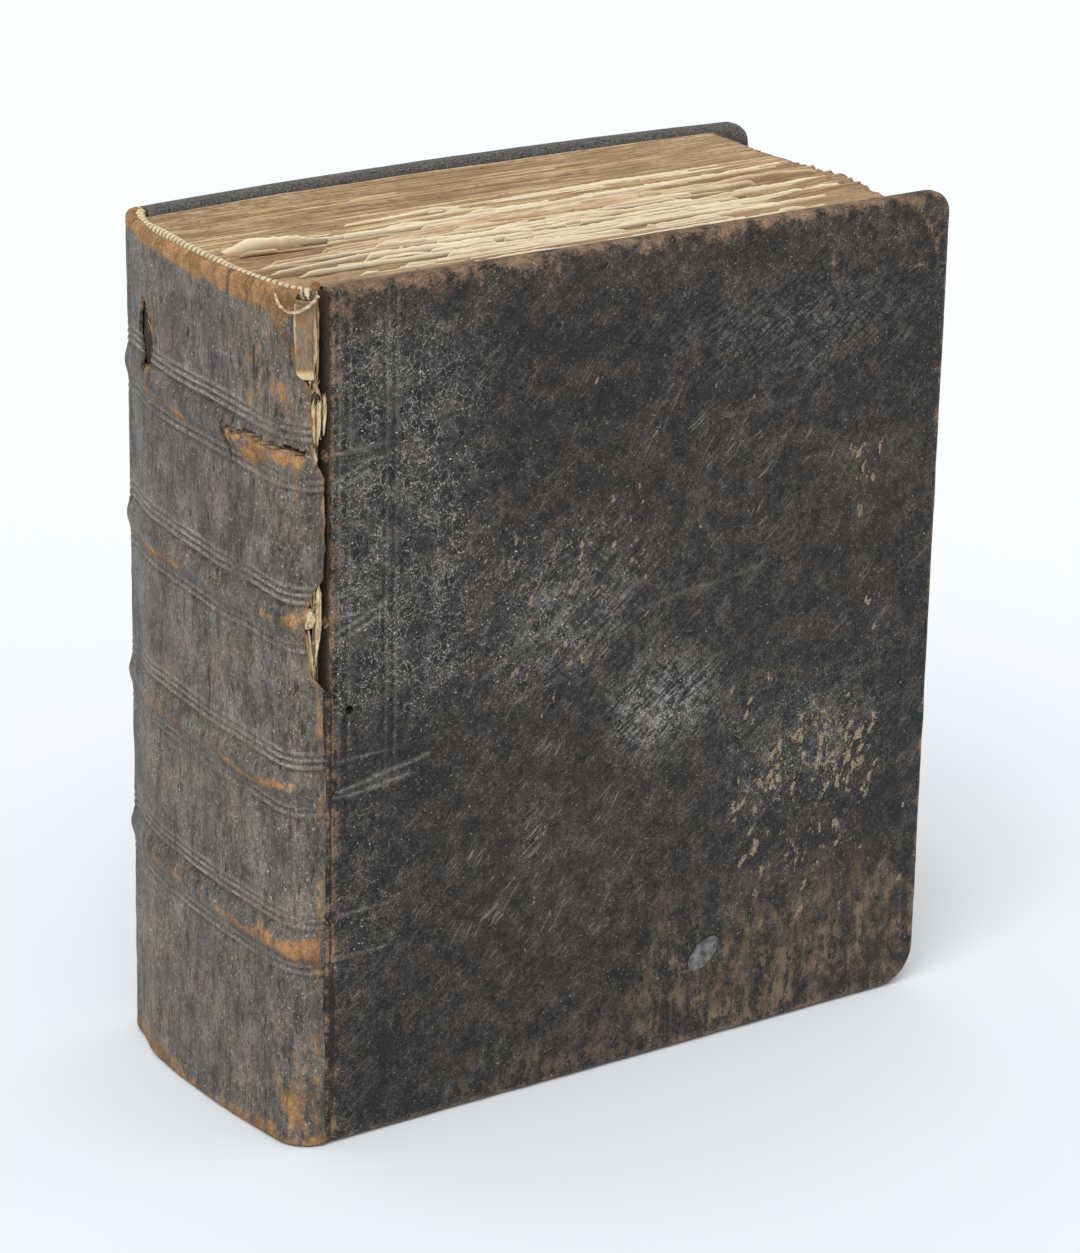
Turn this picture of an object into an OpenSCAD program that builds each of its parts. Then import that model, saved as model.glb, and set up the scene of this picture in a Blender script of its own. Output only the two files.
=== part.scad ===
// Antique quarto book: leaves sewn in sections on raised cords, boards laced on, covered in dark leather.
// It stands on its tail, the spine towards -X, the front cover towards -Y, the head towards +Z.

/* [Leaves] */
// Height of the leaves, head to tail
leaf_h = 223; // [190:1:280]
// Width of the leaves, joint to fore-edge, in the front sections
leaf_w = 188; // [150:1:240]
// Thickness of the closed leaves
block_t = 82; // [60:1:110]
// Number of sewn sections
section_count = 28; // [16:1:36]
// Depth to which the section edges have parted
parting_depth = 3; // [1:0.5:5]
// Width of the parting between two sections
parting_w = 0.4; // [0.2:0.1:0.8]
// How far a section edge strays below the trimmed edge
section_stray = 0.8; // [0.2:0.1:1.2]
// How much shorter the back sections are at the fore-edge
fore_lean = 7; // [0:0.5:12]

/* [Boards] */
// Thickness of a board
board_t = 4.4; // [3.8:0.1:7]
// How far the covers stand past the leaves at head and tail
square = 3.5; // [3.4:0.1:7]
// How far the covers stand past the front sections at the fore-edge
fore_square = 7; // [4:0.5:12]
// Corner radius of a cover at the head
head_corner_r = 6; // [5:0.5:12]
// Corner radius of a cover at the tail
tail_corner_r = 11; // [5:0.5:16]

/* [Leather] */
// Thickness of the covering leather
leather_t = 1; // [0.7:0.1:1.2]
// Thickness of the pared turn-ins
turn_in_t = 0.6; // [0.4:0.1:0.8]
// Width of the turn-ins on the inside of a board
turn_in_w = 16; // [12:0.5:24]
// Edge radius of a covered board
edge_r = 1.8; // [1.5:0.1:2.2]
// How far the back cover has warped outwards in the middle
back_bow = 5; // [1:0.5:8]

/* [Endpapers] */
// Thickness of a pastedown
paper_t = 0.25; // [0.2:0.05:0.4]
// Leather margin left round a pastedown
paste_margin = 5; // [4:0.5:8]

/* [Spine] */
// How far the spine rounds out past the joints
spine_round = 12.5; // [12:0.5:16]
// Plan radius of the shoulders
shoulder_r = 10; // [9:0.5:11]
// Thickness of the paper spine linings
lining_t = 0.4; // [0.3:0.05:0.6]
// Thickness of the leather rolled over at the head and tail of the spine
cap_d = 3.2; // [2.6:0.1:3.3]
// How far the rolled caps stand out from the spine
cap_roll = 0.15; // [0.1:0.05:0.3]
// Depth to which the tail of the spine is worn flat
tail_wear = 0.3; // [0.2:0.05:0.5]

/* [Sewing cords] */
// Number of raised cords
cord_count = 4; // [3:1:4]
// Diameter of a sewing cord
cord_d = 5; // [4:0.5:6]
// How far the leather over a cord stands out from the panels
cord_proud = 2; // [1.5:0.1:2.5]
// Height of the panel between the head and the top cord
head_panel = 43; // [36:0.5:48]
// Height of the panel between the lowest cord and the tail
tail_panel = 56.5; // [48:0.5:60]
// Height of the leather band moulded over a cord
band_h = 12; // [10:0.5:16]
// How much a cord thins where it turns over the shoulder
cord_thin = 0.2; // [0.15:0.05:0.4]
// Diameter of the slips that lace a board on
slip_d = 3.2; // [2.4:0.1:3.4]
// How much a slip spreads where it goes through its board
slip_spread = 0.8; // [0.4:0.1:1.2]
// Distance of the lacing holes from the joint
lacing_inset = 18; // [12:1:30]

/* [Endbands] */
// Diameter of an endband
endband_d = 3; // [2.4:0.1:3.2]
// Pitch of the thread wound on an endband
thread_pitch = 2; // [1.6:0.1:3]
// Depth of the hollows between two turns of thread
thread_depth = 0.35; // [0.1:0.05:0.5]
// Slant of the turns of thread, in degrees
thread_slant = 20; // [0:1:30]

/* [Wear] */
// The cord beside the lower torn patch of the front joint, counted from the tail
torn_cord = 3; // [2:1:3]
// How far the crack in the front joint runs below that cord
crack_drop = 16.5; // [10:0.5:20]
// Width of the crack where it is narrow
crack_w = 2; // [1:0.5:3]
// Width of the torn patches beside the crack
torn_w = 5; // [3:0.5:6]
// Height of the torn patch at the head of the front joint
head_tear_h = 40; // [30:1:45]
// Width of the torn patch at the head of the front joint
head_tear_w = 8.5; // [6:0.5:9]
// Height of the lining tab that shows in the head tear
tab_h = 18; // [12:1:24]
// Width of the lining tab
tab_w = 5.5; // [4:0.5:6]
// Height of the split in the spine leather above the top band
split_h = 18; // [12:1:24]
// Width of that split
split_w = 4.4; // [2:0.2:6]
// Distance of the middle of that split from the head
split_drop = 27; // [22:1:29]
// How far the split lies from the middle of the spine, towards the back cover
split_off = 23; // [18:1:28]
// Diameter of the worm hole in the front cover
worm_d = 1.6; // [1:0.1:2.5]
// Distance of the worm hole from the joint
worm_x = 6.5; // [4:0.5:12]
// Height of the worm hole above the tail
worm_z = 120; // [104:1:138]

/* [Fits] */
// Glue line between glued pieces
glue = 0.05; // [0.02:0.01:0.1]
// Gap in the joint between the spine and a cover
joint_gap = 0.4; // [0.3:0.1:0.8]
// Gap between the leaves and a pastedown
leaf_gap = 0.3; // [0.2:0.1:0.6]

/* [Hidden] */
$fn = 64;
cover_t = leather_t + board_t + turn_in_t;
book_t = block_t + 2 * (leaf_gap + paper_t + cover_t);
half_t = book_t / 2;
cover_h = leaf_h + 2 * square;
cover_reach = leaf_w + fore_square;
spine_reach = spine_round + cord_proud;
book_w = spine_reach + cover_reach;
joint_x = spine_reach - book_w / 2;
fore_x = joint_x + cover_reach;
edge_x = joint_x + joint_gap;
head_z = square + leaf_h;
far = book_w;

// The outside of the warped back cover is one arc in plan, from the joint to the fore-edge.
bow_chord = fore_x - edge_x;
bow_r = (pow(bow_chord / 2, 2) + pow(back_bow, 2)) / (2 * back_bow);
bow_x = edge_x + bow_chord / 2;
bow_y = half_t + back_bow - bow_r;
bow_a = asin(bow_chord / 2 / bow_r);
bow_lacing_a = bow_a - asin((lacing_inset + slip_d) / 2 / bow_r);
bow_sink = slip_d / 8;
bow_steps = 16;

// The spine in plan is one flat arc, its centre at back_x, with a tighter arc at each shoulder.
shoulder_y = half_t - shoulder_r;
back_r = (pow(spine_round, 2) + pow(shoulder_y, 2) - pow(shoulder_r, 2)) / (2 * (spine_round - shoulder_r));
back_x = joint_x + back_r - spine_round;
back_a = asin(shoulder_y / (back_r - shoulder_r));

// Depths below the outside of the leather
block_depth = leather_t + lining_t;
cord_depth = leather_t - cord_proud + cord_d / 2;
endband_depth = cap_d - cap_roll + glue + endband_d / 2;

section_pitch = block_t / section_count;
head_strays = rands(0, section_stray, section_count, 11);
tail_strays = rands(0, section_stray, section_count, 23);
fore_strays = rands(0, section_stray, section_count, 37);

leather_colour = [0.16, 0.15, 0.14];
worn_colour = [0.45, 0.29, 0.16];
paper_colour = [0.62, 0.51, 0.38];
cord_colour = [0.74, 0.62, 0.43];
wood_colour = [0.50, 0.36, 0.22];

cords = [1:cord_count];
panels = [1:cord_count + 1];

function numbered(name, list) = [for (i = list) str(name, "_", i)];

cord_pitch = (cover_h - head_panel - tail_panel) / (cord_count - 1);
function cord_z(i) = tail_panel + (i - 1) * cord_pitch;

// Plan of everything inside the spine curve at a depth below the outside of the leather.
module spine_plan(depth) {
    past = 1.2 * back_r / (back_r - shoulder_r);
    intersection() {
        union() {
            intersection() {
                translate([back_x, 0]) circle(back_r - depth);
                polygon([
                    [back_x, 0],
                    [back_x + past * (joint_x - back_x), past * shoulder_y],
                    [back_x + past * (joint_x - back_x), -past * shoulder_y]
                ]);
            }
            for (side = [-1, 1]) translate([joint_x, side * shoulder_y]) circle(shoulder_r - depth);
        }
        translate([joint_x - far, -half_t]) square([far, book_t]);
    }
}

// Plan of a layer that follows the spine curve between two depths.
module spine_layer(outer, inner) {
    difference() {
        spine_plan(outer);
        spine_plan(inner);
    }
}

// Sweeps a section along the flat arc of the spine: its X points out of the spine, its Y up.
module along_back(depth) {
    translate([back_x, 0, 0]) rotate([0, 0, 180 - back_a])
        rotate_extrude(angle = 2 * back_a) translate([back_r - depth, 0]) children();
}

// Sweeps a section along the two shoulder arcs, which lap the flat arc by a length.
module along_shoulders(depth, lap) {
    angle = 90 - back_a + lap / (shoulder_r - depth) * 180 / PI;
    translate([joint_x, shoulder_y, 0]) rotate([0, 0, 90])
        rotate_extrude(angle = angle) translate([shoulder_r - depth, 0]) children();
    translate([joint_x, -shoulder_y, 0]) rotate([0, 0, 270 - angle])
        rotate_extrude(angle = angle) translate([shoulder_r - depth, 0]) children();
}

module along_spine(depth) {
    along_back(depth) children();
    along_shoulders(depth, 0) children();
}

// Keeps what lies between the two outer faces of the book, less a margin.
module between_faces(margin) {
    intersection() {
        children();
        translate([-far, margin - half_t, -far]) cube([2 * far, book_t - 2 * margin, 2 * far + cover_h]);
    }
}

// A cord lies along the back and thins a little over the shoulders.
module cord_sweep(i, grow) {
    between_faces(leather_t + cap_roll + glue - grow) {
        along_back(cord_depth) translate([0, cord_z(i)]) circle(cord_d / 2 + grow);
        along_shoulders(cord_depth, cord_d / 5) translate([0, cord_z(i)])
            circle(cord_d / 2 - cord_thin + grow);
    }
}

// Leaves

module section_slab(i) {
    low = i == 0 ? -half_t : i * section_pitch - block_t / 2 + parting_w / 2;
    high = i == section_count - 1 ? half_t : (i + 1) * section_pitch - block_t / 2 - parting_w / 2;
    bottom = square + tail_strays[i];
    fore = fore_x - fore_square - fore_lean * i / (section_count - 1) - fore_strays[i];
    translate([joint_x - far, low, bottom])
        cube([fore - joint_x + far, high - low, head_z - head_strays[i] - bottom]);
}

module text_block() {
    inset = parting_depth + section_stray;
    core_fore = fore_x - fore_square - fore_lean - inset;
    color(paper_colour) difference() {
        intersection() {
            linear_extrude(cover_h) {
                spine_plan(block_depth);
                translate([joint_x, -block_t / 2]) square([leaf_w, block_t]);
            }
            union() {
                translate([joint_x - far, -half_t, square + inset])
                    cube([core_fore - joint_x + far, book_t, leaf_h - 2 * inset]);
                for (i = [0:section_count - 1]) section_slab(i);
            }
        }
        for (i = cords) cord_sweep(i, glue);
    }
}

// Sewing cords, linings and endbands

module sewing_cord(i) {
    color(cord_colour) cord_sweep(i, 0);
}

module spine_lining(i) {
    low = i == 1 ? square + section_stray : cord_z(i - 1) + cord_d / 2 + glue;
    high = i == cord_count + 1 ? head_z - section_stray : cord_z(i) - cord_d / 2 - glue;
    color(paper_colour) translate([0, 0, low]) linear_extrude(high - low)
        spine_layer(leather_t + glue, block_depth - glue);
}

// Angle from -X, centre and radius of the spine curve at an arc length s from the middle of the spine.
function arc_half(depth) = (back_r - depth) * back_a * PI / 180;
function turn_at(s, depth) = abs(s) <= arc_half(depth)
    ? s / (back_r - depth) * 180 / PI
    : sign(s) * (back_a + (abs(s) - arc_half(depth)) / (shoulder_r - depth) * 180 / PI);
function centre_at(s, depth) = abs(s) <= arc_half(depth) ? [back_x, 0] : [joint_x, sign(s) * shoulder_y];
function radius_at(s, depth) = (abs(s) <= arc_half(depth) ? back_r : shoulder_r) - depth;

// One ring of the endband: a circle that slants along the spine curve.
function thread_ring(s, radius, sides) = [
    for (k = [0:sides - 1])
        let (
            out = radius * cos(k * 360 / sides),
            up = radius * sin(k * 360 / sides),
            at = s + up * tan(thread_slant),
            turn = turn_at(at, endband_depth),
            reach = radius_at(at, endband_depth) + out
        )
        [
            centre_at(at, endband_depth)[0] - reach * cos(turn),
            centre_at(at, endband_depth)[1] + reach * sin(turn),
            up
        ]
];

// A cord core wound with thread: rings of full and hollow radius in turn, closed by two flat ends.
module endband(z) {
    sides = 10;
    rings_per_turn = 3;
    reach = arc_half(endband_depth) + (shoulder_r - endband_depth) * 45 * PI / 180;
    turns = floor(2 * reach / thread_pitch);
    ring_count = turns * rings_per_turn;
    function ring_radius(n) = endband_d / 2 - (n % rings_per_turn == 0 ? thread_depth : 0);
    points = [
        for (n = [0:ring_count])
            each thread_ring((n / rings_per_turn - turns / 2) * thread_pitch, ring_radius(n), sides)
    ];
    faces = [
        [for (k = [0:sides - 1]) k],
        [for (k = [0:sides - 1]) ring_count * sides + sides - 1 - k],
        for (n = [0:ring_count - 1], k = [0:sides - 1])
            let (next = (k + 1) % sides)
            each [
                [n * sides + k, (n + 1) * sides + k, (n + 1) * sides + next],
                [n * sides + k, (n + 1) * sides + next, n * sides + next]
            ]
    ];
    color(cord_colour) translate([0, 0, z]) polyhedron(points, faces);
}

module joint_lining_tab() {
    gap = (head_tear_w - tab_w) / 2;
    color(paper_colour) intersection() {
        translate([0, 0, head_z - tab_h]) linear_extrude(tab_h) spine_layer(glue, leather_t);
        translate([joint_x - gap - tab_w, -half_t, 0]) cube([tab_w, half_t, cover_h]);
    }
}

// Spine leather

// Section of the leather moulded over a cord: a bell that sinks into the panel on both sides.
module band_section() {
    steps = 10;
    foot = leather_t / 8;
    polygon([
        [-leather_t / 2, band_h / 2],
        [-leather_t / 2, -band_h / 2],
        for (n = [0:steps])
            let (t = 2 * n / steps - 1)
            [(cord_proud + foot) * (1 + cos(180 * t)) / 2 - foot, t * band_h / 2]
    ]);
}

// Outline, in X and Z, of the leather lost along the front joint.
module joint_tear() {
    torn_z = cord_z(torn_cord);
    translate([0, shoulder_r - half_t, 0]) rotate([90, 0, 0]) linear_extrude(2 * shoulder_r) polygon([
        [joint_x + 1, torn_z - crack_drop],
        [joint_x, torn_z - crack_drop],
        [joint_x - torn_w, torn_z - cord_d],
        [joint_x - torn_w, torn_z + cord_d / 2],
        [joint_x - crack_w, torn_z + 2 * cord_d],
        [joint_x - crack_w, cover_h - head_tear_h - cord_d],
        [joint_x - torn_w, cover_h - head_tear_h],
        [joint_x - head_tear_w, head_z - tab_h],
        [joint_x - head_tear_w, cover_h + 1],
        [joint_x + 1, cover_h + 1]
    ]);
}

// Lens-shaped split through the leather of the spine, above the top band.
module spine_split() {
    r = (pow(split_h, 2) + pow(split_w, 2)) / (4 * split_w);
    translate([joint_x, split_off, cover_h - split_drop]) rotate([90, 0, -90])
        linear_extrude(far) intersection() {
            translate([r - split_w / 2, 0]) circle(r);
            translate([split_w / 2 - r, 0]) circle(r);
        }
}

module spine_leather() {
    roll_r = cap_d / 2;
    color(leather_colour) difference() {
        union() {
            translate([0, 0, roll_r]) linear_extrude(cover_h - 2 * roll_r) spine_layer(0, leather_t);
            between_faces(cap_roll) {
                for (i = cords) along_spine(0) translate([0, cord_z(i)]) band_section();
                along_spine(roll_r - cap_roll) {
                    translate([0, cover_h - roll_r]) circle(roll_r);
                    translate([0, roll_r - tail_wear]) circle(roll_r);
                }
            }
        }
        for (i = cords) cord_sweep(i, glue);
        translate([-far, -far, -far]) cube([2 * far, 2 * far, far]);
        joint_tear();
        spine_split();
    }
}

// Front cover.

// Outline of a cover in X and Z, inset from its outer edge.
module cover_outline(inset) {
    difference() {
        translate([edge_x, inset]) square([fore_x - inset - edge_x, cover_h - 2 * inset]);
        translate([fore_x - head_corner_r, cover_h - head_corner_r]) corner_waste(head_corner_r - inset, 1);
        translate([fore_x - tail_corner_r, tail_corner_r]) corner_waste(tail_corner_r - inset, -1);
    }
}

// What a corner arc of radius r, centred on the origin, leaves of its square.
module corner_waste(r, side) {
    difference() {
        translate([0, side > 0 ? 0 : -r]) square(r);
        circle(r);
    }
}

module cover_slab(inset, outer, inner) {
    translate([0, inner, 0]) rotate([90, 0, 0]) linear_extrude(inner - outer) cover_outline(inset);
}

// Section of the leather where it turns round the edge of a board: X runs in from the edge, Y from the
// outside in.
module edge_section() {
    difference() {
        square([edge_w, cover_t]);
        difference() {
            square(edge_r);
            translate([edge_r, edge_r]) circle(edge_r);
        }
        difference() {
            translate([0, cover_t - edge_r]) square(edge_r);
            translate([edge_r, cover_t - edge_r]) circle(edge_r);
        }
        translate([leather_t - glue, leather_t - glue]) square([edge_w, board_t + 2 * glue]);
    }
}

// The turned edge along head, fore-edge and tail, and round the two corners.
module turned_edge() {
    head_x = fore_x - head_corner_r;
    tail_x = fore_x - tail_corner_r;
    translate([edge_x, -half_t, cover_h]) rotate([0, 90, 0])
        linear_extrude(head_x - edge_x) edge_section();
    translate([head_x, -half_t, cover_h - head_corner_r]) rotate([90, 0, 0])
        rotate_extrude(angle = 90) translate([head_corner_r, 0]) rotate(180) edge_section();
    translate([fore_x, -half_t, tail_corner_r])
        linear_extrude(cover_h - head_corner_r - tail_corner_r) mirror([1, 0]) edge_section();
    translate([tail_x, -half_t, tail_corner_r]) rotate([90, 0, 0]) rotate([0, 0, -90])
        rotate_extrude(angle = 90) translate([tail_corner_r, 0]) rotate(180) edge_section();
    translate([edge_x, -half_t, 0]) rotate([0, 90, 0])
        linear_extrude(tail_x - edge_x) mirror([1, 0]) edge_section();
}

board_out = leather_t - half_t;
board_in = board_out + board_t;
cover_in = cover_t - half_t;
slip_y = board_out + slip_d / 2;
edge_w = 2 * edge_r;

// The slip lies in a channel from the joint to its hole, goes through to the inside and spreads there.
module slip_path(i, grow, lead = 0, sink = 0) {
    hole_x = joint_x + lacing_inset;
    run_y = slip_y + sink;
    translate([edge_x - grow - lead, run_y, cord_z(i)]) rotate([0, 90, 0])
        cylinder(d = slip_d + 2 * grow, h = hole_x - edge_x + grow + lead);
    translate([hole_x, run_y - slip_d / 4 - grow, cord_z(i)]) rotate([-90, 0, 0])
        cylinder(d = slip_d + slip_spread + 2 * grow, h = board_in - run_y + slip_d / 4 + grow + lead);
}

module worm_hole() {
    translate([joint_x + worm_x, -half_t, worm_z]) rotate([-90, 0, 0])
        translate([0, 0, -1]) cylinder(d = worm_d, h = 1 + leather_t + board_t / 2);
}

module board() {
    color(wood_colour) difference() {
        cover_slab(leather_t, board_out, board_in);
        for (i = cords) slip_path(i, glue);
        worm_hole();
    }
}

module cover_leather() {
    color(leather_colour) difference() {
        union() {
            turned_edge();
            cover_slab(edge_w, -half_t, board_out - glue);
            difference() {
                cover_slab(edge_w, board_in + glue, cover_in);
                translate([edge_x - 1, board_in, turn_in_w])
                    cube([fore_x - turn_in_w - edge_x + 1, 2 * turn_in_t, cover_h - 2 * turn_in_w]);
            }
        }
        worm_hole();
    }
}

// The sheet fills the window between the turn-ins and laps over them.
module pastedown() {
    fill = turn_in_w + glue;
    color(paper_colour) {
        translate([edge_x, board_in + glue, fill])
            cube([fore_x - fill - edge_x, turn_in_t, cover_h - 2 * fill]);
        translate([edge_x, cover_in + glue, paste_margin])
            cube([fore_x - paste_margin - edge_x, paper_t, cover_h - 2 * paste_margin]);
    }
}

module slip(i, sink = 0) {
    color(cord_colour) slip_path(i, 0, 0, sink);
}

// Back cover, the same make as the front one but bowed.

// A point at a depth below the bowed outside, at one of the steps from joint to fore-edge.
function bow_point(depth, k) =
    let (turn = 1.05 * bow_a * (2 * k / bow_steps - 1))
    [bow_x + (bow_r - depth) * sin(turn), bow_y + (bow_r - depth) * cos(turn)];

// What lies between two depths below the bowed outside, inside an outline in X and Z.
module bowed_layer(outer, inner) {
    intersection() {
        translate([0, 0, -1]) linear_extrude(cover_h + 2) polygon(concat(
            [for (k = [0:bow_steps]) bow_point(outer, k)],
            [for (k = [bow_steps:-1:0]) bow_point(inner, k)]
        ));
        translate([0, half_t + back_bow + 1, 0]) rotate([90, 0, 0]) linear_extrude(half_t) children();
    }
}

module sheet_outline(margin, lead) {
    translate([edge_x - lead, margin]) square([bow_chord - margin + lead, cover_h - 2 * margin]);
}

module bowed_board() {
    color(wood_colour) difference() {
        bowed_layer(leather_t, leather_t + board_t) cover_outline(leather_t);
        for (i = cords) laced_back() slip_path(i, glue, 1, bow_sink);
    }
}

// The leather leaves room for the board and is open at the joint; its edges are pressed square.
module bowed_leather() {
    room = leather_t - glue;
    color(leather_colour) difference() {
        bowed_layer(0, cover_t) cover_outline(0);
        bowed_layer(room, leather_t + board_t + glue) {
            cover_outline(room);
            translate([edge_x - 1, room]) square([2, cover_h - 2 * room]);
        }
        bowed_layer(leather_t + board_t / 2, cover_t + 1) sheet_outline(turn_in_w, 1);
    }
}

module bowed_pastedown() {
    fill = turn_in_w + glue;
    top = leather_t + board_t + glue;
    color(paper_colour) difference() {
        bowed_layer(top, top + turn_in_t + paper_t) sheet_outline(paste_margin, 0);
        bowed_layer(top - 1, top + turn_in_t) difference() {
            sheet_outline(-1, 1);
            sheet_outline(fill, 2);
        }
    }
}

// Puts a slip, drawn for the front, along the bowed back cover.
module laced_back() {
    translate([edge_x, half_t, 0]) rotate([0, 0, bow_lacing_a]) translate([-edge_x, -half_t, 0])
        mirror([0, 1, 0]) children();
}

// Brings the middle of the whole book, with its bow, over the origin.
module centred() {
    translate([0, -back_bow / 2, 0]) children();
}

centred() text_block();
centred() spine_leather();
centred() endband(head_z + endband_d / 2 + glue);  // head_endband
centred() endband(square - endband_d / 2 - glue);  // tail_endband
centred() joint_lining_tab();
for (i = cords) centred() sewing_cord(i);
for (i = panels) centred() spine_lining(i);
centred() board();  // front_board
centred() cover_leather();  // front_cover_leather
centred() pastedown();  // front_pastedown
for (i = cords) centred() slip(i);
centred() bowed_board();  // back_board
centred() bowed_leather();  // back_cover_leather
centred() bowed_pastedown();  // back_pastedown
for (i = cords) centred() laced_back() slip(i, bow_sink);
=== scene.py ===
import math

import bpy
import numpy as np
from mathutils import Matrix, Vector


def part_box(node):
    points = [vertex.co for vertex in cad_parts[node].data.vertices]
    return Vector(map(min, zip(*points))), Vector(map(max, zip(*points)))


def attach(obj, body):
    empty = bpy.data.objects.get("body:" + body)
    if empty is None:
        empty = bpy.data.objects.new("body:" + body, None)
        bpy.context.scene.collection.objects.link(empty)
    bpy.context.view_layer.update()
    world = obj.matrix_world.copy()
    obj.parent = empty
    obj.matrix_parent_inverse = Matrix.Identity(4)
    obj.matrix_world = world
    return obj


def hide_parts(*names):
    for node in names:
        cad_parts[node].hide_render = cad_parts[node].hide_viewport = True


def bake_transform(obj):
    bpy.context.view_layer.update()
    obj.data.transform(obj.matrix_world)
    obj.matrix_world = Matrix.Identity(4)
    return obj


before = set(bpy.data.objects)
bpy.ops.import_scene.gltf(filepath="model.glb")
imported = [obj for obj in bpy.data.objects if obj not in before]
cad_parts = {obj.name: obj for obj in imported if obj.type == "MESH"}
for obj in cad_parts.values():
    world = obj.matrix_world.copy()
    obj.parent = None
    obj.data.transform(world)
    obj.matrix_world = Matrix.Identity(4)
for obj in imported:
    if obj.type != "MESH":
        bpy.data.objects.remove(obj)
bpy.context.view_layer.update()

# Leaves: rag paper sewn in gatherings on cords and cut at three edges, dusty at the head. The back of
# the block swells towards the back cover, and the fore-edge leans.
MM = 0.001
JOINT_X, FORE_X = -90.25, 104.75
HALF_T = 47.55
BACK_R, BACK_X = 293.2505, 190.5005
SHOULDER_R = 10.0
SHOULDER_Y = HALF_T - SHOULDER_R
FLAT_HALF, BLOCK_HALF = 38.7, 41.0
LEAF_GROUPS, LEAF_BUNDLE = 150, 5
PARTING = 0.45
LEAF_HEAD, LEAF_TAIL = 226.3, 3.6
LEAF_FORE, FORE_LEAN = 98.0, 6.5
HEAD_RISE, HEAD_DIP = 2.2, 1.8
BACK_BOW, BACK_EASE = 5.0, 2.6
MIDDLE_Y = -BACK_BOW / 2


def dice(iu, iv, seed):
    """A fixed random number from 0 to 1 for each whole-number place."""
    n = iu.astype(np.int64) * 374761393 + iv.astype(np.int64) * 668265263 + seed * 974634777
    n &= 0xFFFFFFFF
    n = ((n ^ (n >> 13)) * 1274126177) & 0xFFFFFFFF
    return ((n ^ (n >> 16)) & 0xFFFFFF) / 0xFFFFFF


def ripple(u, v, seed, octaves=3, fade=0.5):
    """Smooth unevenness from about -1 to 1, one bump to a unit of u and v."""
    u, v = np.broadcast_arrays(np.asarray(u, float), np.asarray(v, float))
    total, weight, whole = np.zeros(u.shape), 1.0, 0.0
    for k in range(octaves):
        iu, iv = np.floor(u), np.floor(v)
        fu, fv = u - iu, v - iv
        fu, fv = fu * fu * (3 - 2 * fu), fv * fv * (3 - 2 * fv)
        low = dice(iu, iv, seed + k) * (1 - fu) + dice(iu + 1, iv, seed + k) * fu
        high = dice(iu, iv + 1, seed + k) * (1 - fu) + dice(iu + 1, iv + 1, seed + k) * fu
        total = total + weight * (2 * (low * (1 - fv) + high * fv) - 1)
        whole += weight
        weight *= fade
        u, v = u * 2.03 + 17.1, v * 2.03 + 5.7
    return total / whole


def ease(value, start, end):
    """0 before start, 1 after end, and smooth between them."""
    t = np.clip((value - start) / (end - start), 0, 1)
    return t * t * (3 - 2 * t)


def make_mesh(name, points, faces):
    """A smooth piece from four-cornered faces and points in millimetres from the leaves' middle."""
    mesh = bpy.data.meshes.new(name)
    points = np.asarray(points, float).reshape(-1, 3) + (0, MIDDLE_Y, 0)
    faces = np.asarray(faces, np.int32)
    mesh.vertices.add(len(points))
    mesh.vertices.foreach_set("co", (points * MM).astype(np.float32).ravel())
    mesh.loops.add(faces.size)
    mesh.loops.foreach_set("vertex_index", faces.ravel())
    mesh.polygons.add(len(faces))
    mesh.polygons.foreach_set("loop_start", np.arange(0, faces.size, faces.shape[1], dtype=np.int32))
    mesh.polygons.foreach_set("use_smooth", np.ones(len(faces), bool))
    mesh.update(calc_edges=True)
    mesh.validate()
    piece = bpy.data.objects.new(name, mesh)
    bpy.context.scene.collection.objects.link(piece)
    return piece


def net(rows, columns, turned=False, first=0):
    """The four-cornered faces of a net of rows and columns of points."""
    place = np.arange(rows * columns).reshape(rows, columns) + first
    corners = [place[:-1, :-1], place[:-1, 1:], place[1:, 1:], place[1:, :-1]]
    return np.stack(corners[::-1] if turned else corners, -1).reshape(-1, 4)


def points_of(x, y, z):
    """Points from their three coordinates, each spread over the same net."""
    return np.stack(np.broadcast_arrays(x, y, z), -1)


def mark(piece, name, values):
    """Keeps one number per point on a piece, for its material to read."""
    layer = piece.data.attributes.new(name, "FLOAT", "POINT")
    layer.data.foreach_set("value", np.asarray(values, np.float32).ravel())


def back_bow(x):
    """How far the back of the book bulges at a distance from the joint, on one arc."""
    half = (FORE_X - JOINT_X) / 2
    radius = (half ** 2 + BACK_BOW ** 2) / (2 * BACK_BOW)
    off = np.clip(x - JOINT_X - half, -half, half)
    return np.sqrt(radius ** 2 - off ** 2) - radius + BACK_BOW


def block_back_x(y, depth):
    """Where the rounded back of the leaves stands."""
    flat = BACK_X - np.sqrt((BACK_R - depth) ** 2 - y ** 2)
    over = np.clip(np.abs(y) - SHOULDER_Y, 0, SHOULDER_R - depth - 0.5)
    shoulder = JOINT_X - np.sqrt((SHOULDER_R - depth) ** 2 - over ** 2)
    return np.where(np.abs(y) < FLAT_HALF, flat, shoulder) + BACK_EASE * ease(y, 20.0, 38.0)


def fore_edge_x(y):
    """Where the leaning fore-edge of the leaves stands."""
    return LEAF_FORE - FORE_LEAN * ease(y, -4.0, BLOCK_HALF)


def head_z(y):
    """Height of the head of the leaves, lowest near the front cover."""
    return LEAF_HEAD + HEAD_RISE * ease(y, 8.0, BLOCK_HALF) - HEAD_DIP * ease(-y, 10.0, 34.0)


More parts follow.
